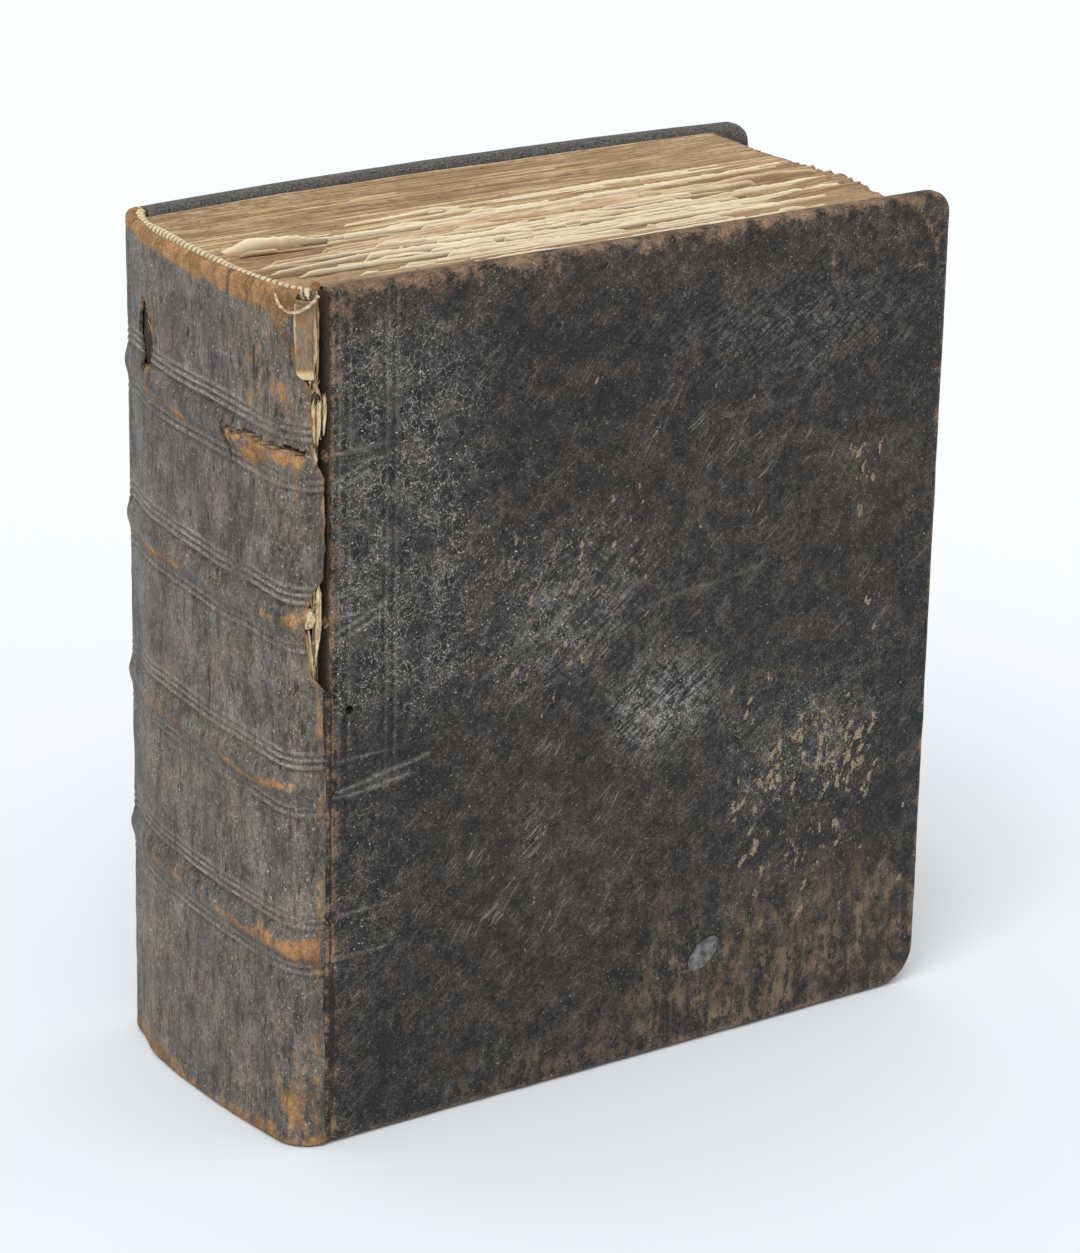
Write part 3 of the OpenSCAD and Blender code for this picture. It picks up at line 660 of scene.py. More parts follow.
def edge_distance(x, z):
    """How far a place on the cover lies from its head, fore and tail edges."""
    away = np.minimum(np.minimum(FORE_X - x, COVER_H - z), z)
    for corner, sign, cz in ((HEAD_CORNER, 1, COVER_H - HEAD_CORNER), (TAIL_CORNER, -1, TAIL_CORNER)):
        cx = FORE_X - corner
        dx, dz = x - cx, sign * (z - cz)
        away = np.where((dx > 0) & (dz > 0), corner - np.hypot(dx, dz), away)
    return np.clip(away, 0, None)


def near_line(u, v, points, width):
    """1 on a bent line through the points, falling to 0 at about twice the width from it."""
    best = np.full(np.shape(u), 1e9)
    for (u0, v0), (u1, v1) in zip(points[:-1], points[1:]):
        du, dv = u1 - u0, v1 - v0
        t = np.clip(((u - u0) * du + (v - v0) * dv) / (du * du + dv * dv + 1e-9), 0, 1)
        best = np.minimum(best, (u - u0 - t * du) ** 2 + (v - v0 - t * dv) ** 2)
    return np.exp(-best / width ** 2)


def near_spot(u, v, centre, reach):
    """1 at the centre of an oval, falling to 0 outside its reach."""
    return np.exp(-((u - centre[0]) / reach[0]) ** 2 - ((v - centre[1]) / reach[1]) ** 2)


def strongest(u, v, spots):
    """The strongest of several ovals at each place; each has a strength, a centre and a reach."""
    return np.max([strength * near_spot(u, v, centre, reach) for strength, centre, reach in spots], axis=0)


def groove(distance, depth, width):
    """A pressed line with a slight lip on each side."""
    t = (distance / width) ** 2
    return -depth * np.exp(-t) + 0.35 * depth * np.exp(-((np.abs(distance) - 2.0 * width) / width) ** 2)


def cover_relief(across, z, seed, worked):
    """Height of the leather over its board: cockles, lacing humps and, if worked, lines and worm hole."""
    height = 0.22 * ripple(across / 34.0, z / 34.0, seed, 3)
    height += 0.07 * ripple(across / 4.0, z / 4.5, seed + 1, 3)
    height += 0.05 * ripple(across / 1.4, z / 1.6, seed + 2, 2) * ease(-across, -40, -10)
    for band in BAND_HEIGHTS:
        hump = np.exp(-((z - band - 0.06 * across) / 3.6) ** 2) * ease(-across, -17, -3)
        height += 0.55 * hump * (0.8 + 0.4 * ripple(across / 5.0, z / 4.0, seed + 3, 2))
    if worked:
        waver = 0.35 * ripple(z / 30.0, 0.5, seed + 4, 2)
        faint = 0.6 + 0.4 * ripple(z / 9.0, across / 9.0, seed + 5, 2)
        for line in LINES_DOWN:
            height += groove(across - line - waver, 0.28, 0.36) * np.clip(faint, 0.1, 1) * ease(z, 60, 120)
        for line in LINES_ACROSS:
            height += groove(z - line - 0.03 * across, 0.32, 0.45) * ease(-across, -21, -19) * faint
        frayed = 0.25 + 0.5 * ripple(across / 1.3, z / 1.8, seed + 6, 3)
        height += frayed * ease(-across, -4.5, -1.0) * ease(z, 60, 130)
        height += 0.28 * ripple(across / 2.6, z / 2.0, seed + 11, 4, 0.6) * ease(z, 196, 222)
        slant = (across * 0.82 - z * 0.57) * 2 * np.pi / 2.3
        ribs = np.sin(slant + 1.2 * ripple(across / 12.0, z / 12.0, seed + 7, 2))
        height += 0.09 * ribs * np.exp(-((across - 146) / 36) ** 2 - ((z - 200) / 14) ** 2)
        height -= 2.4 * ease(-np.hypot(across - WORM_HOLE[0], z - WORM_HOLE[1]), -1.0, -0.8)
    return height


def cover_skin(name, side, worked, seed):
    """The leather of one cover: its face, its rounded edges and its turn-ins, as one skin."""
    xs = spaced((EDGE_X, EDGE_X + 1.2, 0.2), (EDGE_X + 1.2, EDGE_X + 24, 0.38),
                (EDGE_X + 24, FORE_X - 14, 0.95), (FORE_X - 14, FORE_X - 2.4, 0.9),
                (FORE_X - 2.4, FORE_X, 0.3))
    zs = spaced((0, 2.4, 0.3), (2.4, 46, 1.0), (46, 67, 0.7), (67, 92, 0.9), (92, 108, 0.7),
                (108, 116, 1.0), (116, 123, 0.35), (123, 141, 1.0), (141, 153, 0.7), (153, 180, 1.1),
                (180, 192, 0.7), (192, 222, 1.1), (222, 227.6, 0.7), (227.6, COVER_H, 0.3))
    x, z = np.meshgrid(xs, zs)
    x, z = rounded(x, z, 0.0)
    if worked:
        frayed = 0.45 + 0.55 * ripple(z / 2.2, 0.4, seed + 10, 4, 0.6)
        x = x + frayed * ease(EDGE_X - x, -2.2, 0.0) * ease(z, 118, 130)
    away = edge_distance(x, z)
    ragged = 0.25 * ripple(x / 9.0, z / 9.0, seed + 8, 3)
    roll = np.clip(EDGE_ROUND - away, 0, EDGE_ROUND)
    drop = EDGE_ROUND - np.sqrt(np.clip(EDGE_ROUND ** 2 - roll ** 2, 0, None))
    from_joint = x - JOINT_X
    near_joint = np.clip(1.0 - (x - EDGE_X), 0, 1.0)
    drop = drop + (1.0 - np.sqrt(np.clip(1.0 - near_joint ** 2, 0, 1))) * 0.9
    relief = cover_relief(from_joint, z, seed, worked) * ease(away, -0.2, 2.5) + ragged * ease(-away, -5, 0)
    # kept low beside the joint, so that the open cover clears the spine
    relief = np.minimum(relief, 0.09 * from_joint + from_joint ** 2 / 60)
    y = -HALF_T + drop - relief
    face = np.stack([x, y, z], -1)
    rows, columns = x.shape
    faces = [net(rows, columns)]
    ids = np.arange(rows * columns).reshape(rows, columns)
    rim = np.concatenate([ids[-1, :], ids[-2::-1, -1], ids[0, -2::-1]])
    rim_x = np.concatenate([xs, np.full(rows - 1, FORE_X), xs[-2::-1]])
    rim_z = np.concatenate([np.full(columns, COVER_H), zs[-2::-1], np.zeros(columns - 1)])
    points, last = [face.reshape(-1, 3)], rim
    filled = rows * columns
    for inset, level_y in TURN_IN:
        px, pz = rounded(rim_x, rim_z, inset)
        uneven = 0.12 * ripple(rim_x / 6.0 + rim_z / 6.0, inset, seed + 9, 2)
        points.append(points_of(px, level_y + uneven * (inset < 1), pz))
        fresh = np.arange(len(rim)) + filled
        faces.append(np.stack([last[:-1], last[1:], fresh[1:], fresh[:-1]], -1))
        last, filled = fresh, filled + len(rim)
    last = ids[:, 0]
    for inset, level_y in JOINT_WALL:
        points.append(points_of(x[:, 0] + inset, level_y, z[:, 0]))
        fresh = np.arange(rows) + filled
        faces.append(np.stack([last[:-1], last[1:], fresh[1:], fresh[:-1]], -1))
        last, filled = fresh, filled + rows
    points = np.concatenate(points)
    if side > 0:
        points[:, 1] = -points[:, 1] + back_bow(points[:, 0])
    faces = np.concatenate(faces)
    piece = make_mesh(name, points, faces if side < 0 else faces[:, ::-1])
    return piece, points


def drawn_out(tree, place, turn, length, shift):
    """Coordinates turned about the thickness of a cover and drawn out along the new X axis."""
    settings = {"Vector": place, "Location": shift, "Scale": (length, 1, 1)}
    settings["Rotation"] = (0, math.radians(turn), 0)
    return add(tree, "Mapping", settings, vector_type="TEXTURE").outputs[0]


def cells(tree, place, size, feature="F1"):
    """Random cells of about a size in millimetres."""
    return add(tree, "TexVoronoi", {"Vector": place, "Scale": 1 / size}, feature=feature)


def leather_finish(name, black, brown, deep, pale, tan, stretch, crackle, frost, crease_shade):
    """Old calf: dark, crackled into a net of rubbed ridges, scuffed, flecked and worn to suede, with painted
    shade in its creases and, where marked dark, in grooves and holes, and painted highlights on the lips of
    tooled lines.
    """
    finish, tree, shader, place = finish_named(name)
    drawn = stretched(tree, place, stretch)
    mottle = grain(tree, drawn, 4.0, 4.0, 0.68)
    tooth = grain(tree, drawn, 0.6, 3.0, 0.7)
    pores = grain(tree, place, 0.5, 2.0, 0.65)
    smudge = grain(tree, stretched(tree, place, stretch, (41, 13, 7)), 9.0, 4.0, 0.72)
    warm = plus(tree, marked(tree, "brown"), level(tree, smudge, 0.3, 0.7, -0.4, 0.4))
    warm = plus(tree, warm, level(tree, mottle, 0.3, 0.7, -0.2, 0.2), True)
    colour = lay_over(tree, warm, black, brown)
    colour = lay_over(tree, level(tree, mottle, 0.3, 0.5, 0.45, 0.0), colour, deep)
    colour = lay_over(tree, level(tree, tooth, 0.32, 0.48, 0.4, 0.0), colour, deep)
    colour = lay_over(tree, level(tree, tooth, 0.54, 0.72, 0.0, frost), colour, pale)
    grey = marked(tree, "grey")
    patch = level(tree, smudge, 0.36, 0.6, 0.12, 1.0)
    stir = add(tree, "CombineXYZ", {0: mottle, 1: mottle, 2: smudge}).outputs[0]
    stir = add(tree, "VectorMath", {0: stir, 1: (5.0, 5.0, 6.0)}, operation="MULTIPLY").outputs[0]
    bent = add(tree, "VectorMath", {0: drawn, 1: stir}, operation="ADD").outputs[0]
    wide_edge = cells(tree, bent, crackle, "DISTANCE_TO_EDGE").outputs["Distance"]
    vein = maths(tree, "ABSOLUTE", maths(tree, "SUBTRACT", grain(tree, bent, 1.3 * crackle, 1.0), 0.5))
    fine_ridge = times(tree, level(tree, vein, 0.008, 0.04, 1.0, 0.0), level(tree, mottle, 0.42, 0.58))
    ridge = maths(tree, "MAXIMUM", level(tree, wide_edge, 0.02, 0.11, 1.0, 0.0), fine_ridge)
    broken = times(tree, level(tree, pores, 0.44, 0.6, 0.0, 1.0), patch)
    net_share = times(tree, times(tree, ridge, broken), grey)
    hollow = times(tree, level(tree, wide_edge, 0.16, 0.4, 0.0, 0.7), grey)
    colour = lay_over(tree, hollow, colour, deep)
    bloom = times(tree, grey, level(tree, mottle, 0.34, 0.66, 0.0, 0.11))
    colour = lay_over(tree, bloom, colour, pale)
    colour = lay_over(tree, times(tree, net_share, 0.95), colour, pale)
    crease = grain(tree, stretched(tree, bent, (1.0, 1.0, 0.3), (17, 3, 6)), 1.5, 2.0, 0.6)
    # Painted shade: dark lines along creases.
    colour = lay_over(tree, level(tree, crease, 0.6, 0.7, 0.0, crease_shade), colour, tone(22, 19, 17))
    slant = level(tree, grain(tree, drawn_out(tree, place, -36, 5.0, (3, 2, 8)), 0.85, 1.0), 0.44, 0.6)
    cross = level(tree, grain(tree, drawn_out(tree, place, 42, 5.0, (9, 1, 4)), 0.95, 1.0), 0.4, 0.56)
    hatch = times(tree, slant, plus(tree, times(tree, cross, 0.75), 0.2))
    scuffed = times(tree, marked(tree, "white"), level(tree, pores, 0.36, 0.56, 0.4, 1.0))
    hatch = times(tree, hatch, scuffed)
    colour = lay_over(tree, times(tree, hatch, 0.62), colour, tone(196, 195, 190))
    for turn, shift, low in ((-38, (7, 3, 2), 0.63), (-58, (2, 9, 14), 0.65)):
        hair = grain(tree, drawn_out(tree, place, turn, 15.0, shift), 0.7, 1.0, 0.5)
        hair = times(tree, level(tree, hair, low, low + 0.06), level(tree, smudge, 0.44, 0.66, 0.0, 0.45))
        colour = lay_over(tree, times(tree, hair, marked(tree, "scratch"), True), colour, pale)
    # Painted highlight on the lips of tooled lines, from the line mark, which also carries real pale
    # scratches and wear.
    pressed = times(tree, marked(tree, "line"), level(tree, tooth, 0.36, 0.56, 0.2, 1.0))
    colour = lay_over(tree, pressed, colour, pale)
    dot = grain(tree, stretched(tree, place, (1, 1, 1), (8, 5, 3)), 0.9, 1.0)
    dot = times(tree, level(tree, dot, 0.69, 0.75, 0.0, 0.85), level(tree, grey, 0.0, 0.6, 0.25, 1.0))
    colour = lay_over(tree, dot, colour, tone(202, 192, 172))
    chip = grain(tree, stretched(tree, bent, (1.0, 1.0, 0.6), (3, 8, 1)), 1.5, 3.0, 0.62)
    chip = plus(tree, chip, times(tree, marked(tree, "fleck"), 0.3))
    fleck = level(tree, chip, 0.72, 0.84, 0.0, 0.9)
    fleck_tone = lay_over(tree, level(tree, pores, 0.35, 0.65), tone(112, 96, 78), tone(182, 164, 136))
    colour = lay_over(tree, fleck, colour, fleck_tone)
    drip = grain(tree, stretched(tree, bent, (1.0, 1.0, 0.26), (5, 1, 2)), 2.4, 3.0, 0.7)
    drip = times(tree, level(tree, drip, 0.44, 0.6), times(tree, marked(tree, "streak"), patch), True)
    colour = lay_over(tree, drip, colour, tone(134, 113, 90))
    rub = plus(tree, marked(tree, "rub"), level(tree, mottle, 0.3, 0.72, -0.4, 0.4))
    rub = plus(tree, rub, level(tree, pores, 0.3, 0.7, -0.16, 0.16))
    rub = level(tree, rub, 0.24, 0.86)
    soiled_tan = lay_over(tree, 0.55, tan, tone(70, 50, 36))
    suede = lay_over(tree, level(tree, smudge, 0.36, 0.62), soiled_tan, tan)
    suede = lay_over(tree, level(tree, pores, 0.4, 0.66, 0.0, 0.55), suede, tone(78, 60, 46))
    suede = lay_over(tree, level(tree, tooth, 0.5, 0.72, 0.0, 0.6), suede, tone(204, 176, 138))
    colour = lay_over(tree, rub, colour, suede)
    colour = lay_over(tree, marked(tree, "dark"), colour, tone(12, 10, 9))
    matt = plus(tree, level(tree, mottle, 0.3, 0.7, 0.46, 0.62), times(tree, rub, 0.3))
    matt = plus(tree, matt, times(tree, fleck, 0.25), True)
    coat(tree, shader, colour, matt, 0.17)
    raise_up(tree, shader, plus(tree, times(tree, mottle, 0.8), times(tree, tooth, 0.5)), 0.5, 0.9)
    return finish


cover_calf = leather_finish("cover_leather", black=tone(34, 34, 35), brown=tone(62, 52, 43),
                            deep=tone(20, 20, 21), pale=tone(166, 163, 156), tan=tone(156, 128, 104),
                            stretch=(1, 1, 1), crackle=2.1, frost=0.14, crease_shade=0.45)
front_leather, at = cover_skin("front_leather", -1, True, 101)
across, up = at[:, 0] - JOINT_X, at[:, 2]
away = edge_distance(at[:, 0], at[:, 2])
patchy = 0.5 + 0.5 * ripple(across / 5.0, up / 5.0, 110, 4)
coarse = 0.5 + 0.5 * ripple(across / 16.0, up / 16.0, 111, 3)
head_rub = ease(up, 221.0 + 7.0 * coarse, 229.0 + 2.5 * patchy) * (0.4 + 0.65 * patchy)
rim_rub = ease(-away, -2.4 - 1.6 * coarse, -0.3) * (0.3 + 0.55 * patchy)
joint_rub = ease(-across, -4.4 - 2.0 * coarse, -0.6) * (0.25 + 0.65 * patchy)
corner_rub = near_spot(across, up, (191, 226), (10, 9)) + near_spot(across, up, (3, 226), (9, 9))
corner_rub = corner_rub + near_spot(across, up, (190, 5), (7, 7))
HEAD_CRACKS = [
    [(182.7, 230.9), (184.8, 224.5), (189.5, 217.7), (193.7, 219.9)],
    [(189.5, 217.7), (191.9, 207.1), (194.3, 210.9)], [(178.0, 211.8), (188.3, 210.3)],
    [(105.2, 227.0), (106.4, 220.9)], [(132.7, 220.7), (135.3, 216.3)], [(155.0, 217.6), (156.6, 209.3)],
    [(67.2, 230.2), (68.1, 221.7)], [(60.4, 229.2), (60.8, 223.3)], [(44.6, 230.1), (44.0, 223.8)],
]
cracks = np.zeros(len(up))
for crack in HEAD_CRACKS:
    cracks = np.maximum(cracks, near_line(across + 0.6 * ripple(up / 3.0, 2, 113, 2), up, crack, 0.7))
turned = ease(at[:, 1], -45.6, -44.8)
rub = np.maximum.reduce([head_rub, rim_rub, joint_rub, 0.75 * corner_rub * patchy,
                         0.5 * turned * patchy, 0.7 * cracks])
mark(front_leather, "rub", np.clip(rub, 0, 1))
GREY_SPOTS = [(1.3, (104, 103), (17, 15)), (0.9, (64, 134), (26, 24)), (0.5, (12, 70), (16, 44)),
              (0.8, (150, 84), (34, 22))]
grey = 1.15 * ease(-across, -58, -30) * ease(up, 104, 132) * ease(-up, -228, -212)
grey = np.maximum.reduce([grey, strongest(across, up, GREY_SPOTS), 0.1 + 0.25 * coarse])
mark(front_leather, "grey", np.clip(grey * (0.6 + 0.6 * patchy), 0, 1))
WHITE_SPOTS = [(0.3, (146, 201), (38, 13)), (0.34, (78, 134), (28, 22))]
white = np.maximum.reduce([1.1 * near_spot(across, up, (104, 102), (16, 13)) * (0.5 + 0.7 * patchy),
                           0.3 * near_spot(across, up, (152, 84), (26, 18)) * patchy,
                           strongest(across, up, WHITE_SPOTS), 0.1 * coarse])
mark(front_leather, "white", np.clip(white, 0, 1))
FLECK_SPOTS = [(1.0, (158, 80), (19, 15)), (0.85, (140, 72), (14, 16)), (0.75, (156, 50), (28, 24)),
               (0.8, (170, 153), (7, 7)), (0.7, (175, 121), (5, 6)), (0.75, (76, 23), (7, 6)),
               (0.6, (54, 14), (9, 7)), (0.5, (62, 70), (26, 34)), (0.64, (84, 148), (40, 30))]
fleck = np.maximum(strongest(across, up, FLECK_SPOTS), 0.3 * coarse)
chips = np.zeros(len(up))
CHIPPED = [
    # middle of a patch of chips, its spread, number of chips, size of a chip
    ((160, 79), (11, 8), 36, 1.0), ((168, 64), (6, 7), 14, 1.0), ((138, 73), (6, 6), 10, 0.9),
    ((133, 96), (5, 4), 6, 0.8), ((158, 42), (20, 9), 14, 0.9), ((134, 52), (5, 9), 7, 0.9),
    ((171, 152), (4, 6), 6, 0.9), ((174, 116), (2, 4), 3, 0.9),
    ((72, 138), (17, 13), 34, 0.6), ((95, 170), (26, 16), 14, 0.6), ((66, 118), (10, 8), 10, 0.6),
]
for (chip_x, chip_z), (wide, tall), count, size in CHIPPED:
    for n in range(count):
        at_x = chip_x + wide * np.clip(dealer.normal(), -1.5, 1.5)
        at_z = chip_z + tall * np.clip(dealer.normal(), -1.5, 1.5)
        long, slope = size * dealer.uniform(0.5, 3.2), dealer.uniform(-0.2, 0.9)
        stroke = [(at_x, at_z), (at_x + long * slope, at_z + long)]
        chips = np.maximum(chips, near_line(across, up, stroke, size * dealer.uniform(0.7, 1.15)))
mark(front_leather, "fleck", np.maximum(np.clip(0.85 * fleck * (0.55 + 0.6 * patchy), 0, 1), 1.3 * chips))
streak = np.maximum(ease(across, 88, 108) * ease(-up, -56, -18),
                    0.55 * ease(-up, -26, -4) * ease(across, 30, 50))
mark(front_leather, "streak", np.clip(0.95 * streak * (0.35 + 0.8 * patchy), 0, 1))
SCRATCH_SPOTS = [(1.0, (66, 128), (40, 40)), (1.0, (70, 70), (44, 40)), (0.8, (130, 165), (50, 34))]
scratched = np.maximum(strongest(across, up, SCRATCH_SPOTS), 0.3)
mark(front_leather, "scratch", np.clip(1.3 * scratched, 0, 1))
BROWN_SPOTS = [(1.0, (72, 62), (42, 42)), (0.9, (170, 150), (24, 26)), (0.9, (165, 22), (36, 22)),
               (0.6, (100, 160), (50, 24))]
brown = np.maximum(strongest(across, up, BROWN_SPOTS), 0.7 * ease(up, 206, 226))
mark(front_leather, "brown", np.clip(0.12 + 0.75 * brown * (0.4 + coarse), 0, 1))
SCORED = [[(2, 180.6), (13, 185.2)], [(3, 178.8), (12, 182.2)], [(2, 141.0), (17, 146.6)],
          [(3, 138.6), (15, 143.4)], [(3, 98.2), (30, 103.0)], [(6, 96.4), (24, 98.8)]]
SCRATCHES = [[(45.7, 120), (66, 131), (89, 142)], [(52, 116), (60, 124), (71, 131)],
             [(120, 179), (146, 180)], [(96, 130), (135, 135)], [(57, 128), (70, 142)],
             [(74, 118), (92, 133)]]
# pressed: the tooled grooves, painted darker as painted shade; the lips beside them get a painted highlight,
# and scored lines and scratches real pale marks.
pressed, lip_highlight_and_scratch = np.zeros(len(up)), np.zeros(len(up))
for line in LINES_DOWN:
    pressed = np.maximum(pressed, 0.55 * np.exp(-((across - line) / 0.45) ** 2) * ease(up, 40, 110))
    lip_highlight_and_scratch = np.maximum(lip_highlight_and_scratch, 0.22 * np.exp(-((across - line - 0.95) / 0.4) ** 2) * ease(up, 84, 120))
for line in LINES_ACROSS:
    level_off = up - line - 0.03 * across
    pressed = np.maximum(pressed, 0.4 * np.exp(-(level_off / 0.5) ** 2) * ease(-across, -21, -19))
    lip_highlight_and_scratch = np.maximum(lip_highlight_and_scratch, 0.4 * np.exp(-((level_off - 1.0) / 0.45) ** 2) * ease(-across, -21, -16))
for stroke in SCORED:
    lip_highlight_and_scratch = np.maximum(lip_highlight_and_scratch, 0.75 * near_line(across, up, stroke, 0.42))
shaken = up + 0.8 * ripple(across / 9.0, up / 9.0, 112, 2)
for stroke in SCRATCHES:
    lip_highlight_and_scratch = np.maximum(lip_highlight_and_scratch, 0.28 * near_line(across, shaken, stroke, 0.55) * (0.3 + 0.9 * patchy))
mark(front_leather, "line", np.clip(lip_highlight_and_scratch * (0.4 + 0.8 * patchy), 0, 1))
# Painted shade: the worm hole is painted near black inside.
worm_hole_shade = ease(-np.hypot(across - WORM_HOLE[0], up - WORM_HOLE[1]), -1.35, -1.0)
mark(front_leather, "dark", np.maximum(pressed * (0.2 + 0.5 * patchy), worm_hole_shade))
front_leather.data.materials.append(cover_calf)
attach(front_leather, "front_cover")
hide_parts("front_cover_leather")

back_leather, at = cover_skin("back_leather", 1, False, 151)
across, up = at[:, 0] - JOINT_X, at[:, 2]
away = edge_distance(at[:, 0], at[:, 2])
patchy = 0.5 + 0.5 * ripple(across / 5.0, up / 5.0, 160, 4)
coarse = 0.5 + 0.5 * ripple(across / 16.0, up / 16.0, 161, 3)
rim_rub = ease(-away, -2.2 - 1.2 * coarse, -0.3) * (0.25 + 0.5 * patchy) * (1 - 0.9 * ease(up, 219, 225))
joint_rub = ease(-across, -2.6 - 1.0 * coarse, -0.6) * (0.35 + 0.5 * patchy)
corner_rub = near_spot(across, up, (194, 228), (4, 4)) + near_spot(across, up, (191, 4), (7, 7))
mark(back_leather, "rub", np.clip(np.maximum.reduce([rim_rub, joint_rub, 0.8 * corner_rub * patchy]), 0, 1))
grey = (0.3 + 0.6 * coarse) * (0.55 + 0.6 * patchy) * ease(-up, -227, -214)
mark(back_leather, "grey", np.clip(grey, 0, 1))
mark(back_leather, "fleck", np.clip(0.7 * coarse * (0.4 + patchy) - 0.1, 0, 1) * ease(-up, -222, -214))
mark(back_leather, "streak", 0.5 * ease(-up, -40, -10) * patchy)
mark(back_leather, "scratch", 0.4 + 0.5 * coarse)
mark(back_leather, "brown", np.clip(0.1 + 0.5 * coarse, 0, 1) - ease(up, 214, 222))
mark(back_leather, "white", 0.25 * coarse)
# Painted highlight along the rolled head edge.
mark(back_leather, "line", 0.3 * ease(up, 222, 227))
mark(back_leather, "dark", np.zeros(len(at)))
back_leather.data.materials.append(cover_calf)
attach(back_leather, "back_cover")
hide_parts("back_cover_leather")

# Endpapers: a folded sheet of plain paper at each end of the leaves. One half is pasted inside the board
# over the turned-in leather and browned by it; the other half lies free on the leaves as a fly-leaf.
endpaper, tree, shader, place = finish_named("endpaper")
fibre = grain(tree, stretched(tree, place, (1.0, 1.0, 0.6)), 0.8, 4.0)
blots = grain(tree, place, 16.0, 4.0)
fox = cells(tree, place, 11.0)
fox_pick = add(tree, "SeparateColor", {0: fox.outputs["Color"]}).outputs[0]
colour = lay_over(tree, blots, tone(204, 188, 156), tone(226, 214, 188))
colour = lay_over(tree, level(tree, fibre, 0.5, 0.75, 0.0, 0.3), colour, tone(178, 158, 124))
spot = level(tree, fox.outputs["Distance"], 0.05, 0.28, 1.0, 0.0)
spot = times(tree, spot, level(tree, fox_pick, 0.6, 0.9))
colour = lay_over(tree, times(tree, spot, 0.55), colour, tone(150, 112, 70))
colour = lay_over(tree, marked(tree, "rim"), colour, tone(146, 112, 74))
coat(tree, shader, colour, 0.9)
raise_up(tree, shader, plus(tree, fibre, blots), 0.2, 0.6)

PASTED_Y = 41.32


def inside_paper(name, node, side, seed):
    """A pastedown, slightly cockled, over the inside of one board."""
    low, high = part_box(node)
    low, high = np.array(low) / MM, np.array(high) / MM
    x, z = np.meshgrid(np.linspace(low[0], high[0], 60), np.linspace(low[2], high[2], 70))
    rim = np.minimum(np.minimum(x - low[0], high[0] - x), np.minimum(z - low[2], high[2] - z))
    y = -PASTED_Y + 0.05 * ripple(x / 25.0, z / 25.0, seed, 2)
    y = y if side < 0 else -y + back_bow(x)
    paper = make_mesh(name, points_of(x, y, z), net(*x.shape, turned=side < 0))
    mark(paper, "rim", 0.75 * ease(-rim, -14, 0) * (0.6 + 0.4 * ripple(x / 12.0, z / 12.0, seed + 1, 3)))
    paper.data.materials.append(endpaper)
    thicken(paper, 0.18)
    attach(paper, "front_cover" if side < 0 else "back_cover")
    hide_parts(node)


inside_paper("front_inside_paper", "front_pastedown", -1, 171)
inside_paper("back_inside_paper", "back_pastedown", 1, 175)

FLY_Y, FLY_FROM_X = 41.1, -90.6
BENT_UP = [(-0.4, 5.2), (-0.35, 4.0), (-0.25, 2.6), (-0.15, 1.3), (-0.05, 0.4), (0.15, 0.08)]


def fly_leaf(name, side, bent_to, seed):
    """A free endpaper, cut with the leaves under it and bent up against the joint as far as a height."""
    under = leaf_points[0 if side < 0 else -1]
    head, fore, tail = np.split(under, [HEAD_STEPS, HEAD_STEPS + FORE_STEPS])
    flat_x = np.linspace(FLY_FROM_X + 0.5, head[-1, 0], 64)
    shift, bend = np.array(BENT_UP + [(0.0, 0.0)] * len(flat_x)).T
    x = np.concatenate([np.full(len(BENT_UP), FLY_FROM_X), flat_x]) + shift
    up = np.linspace(0, 1, 90)[:, None]
    foot, top = np.interp(x, tail[::-1, 0], tail[::-1, 2]), np.interp(x, head[:, 0], head[:, 2])
    z = foot + up * (top - foot)
    cut = np.interp(z, fore[::-1, 2], fore[::-1, 0]) - head[-1, 0]
    x = x + cut * ease(x, 60.0, head[-1, 0])
    y = FLY_Y + bend * ease(-z, -bent_to - 6, -bent_to) + 0.03 * ripple(x / 25.0, z / 25.0, seed, 2)
    y = -y if side < 0 else y + back_bow(x)
    paper = make_mesh(name, np.stack([x, y, z], -1), net(*x.shape, turned=side > 0))
    rim = np.minimum(np.minimum(z - foot, top - z), np.minimum(x - FLY_FROM_X, head[-1, 0] + cut - x))
    mark(paper, "rim", 0.6 * ease(-rim, -12, 0) * (0.6 + 0.4 * ripple(x / 12.0, z / 12.0, seed + 1, 3)))
    paper.data.materials.append(endpaper)
    thicken(paper, 0.1)
    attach(paper, "book_block")


fly_leaf("front_fly_leaf", -1, 112.0, 181)
fly_leaf("back_fly_leaf", 1, 240.0, 185)

# Spine leather: grey-brown calf moulded tight over the cords into four raised bands, rolled over into
# caps at head and tail. It is cracked off the front cover in the upper half and torn at the head.
CAP_R, CAP_OUT = 1.6, 0.15
SPINE_COLUMNS = 196
# height, and how far the tear has eaten into the spine from the front joint
TEAR = [(0, 0.3), (122, 0.3), (126, 0.6), (130, 4.2), (140, 6.3), (146, 6.0), (152, 4.5), (156, 1.1),
        (182, 1.0), (186, 3.4), (190, 4.2), (200, 4.5), (204, 4.5), (207, 6.0), (209, 8.3), (216, 8.8),
        (223, 9.2), (227, 9.0), (231, 7.2)]
BAND_HALF = 5.2

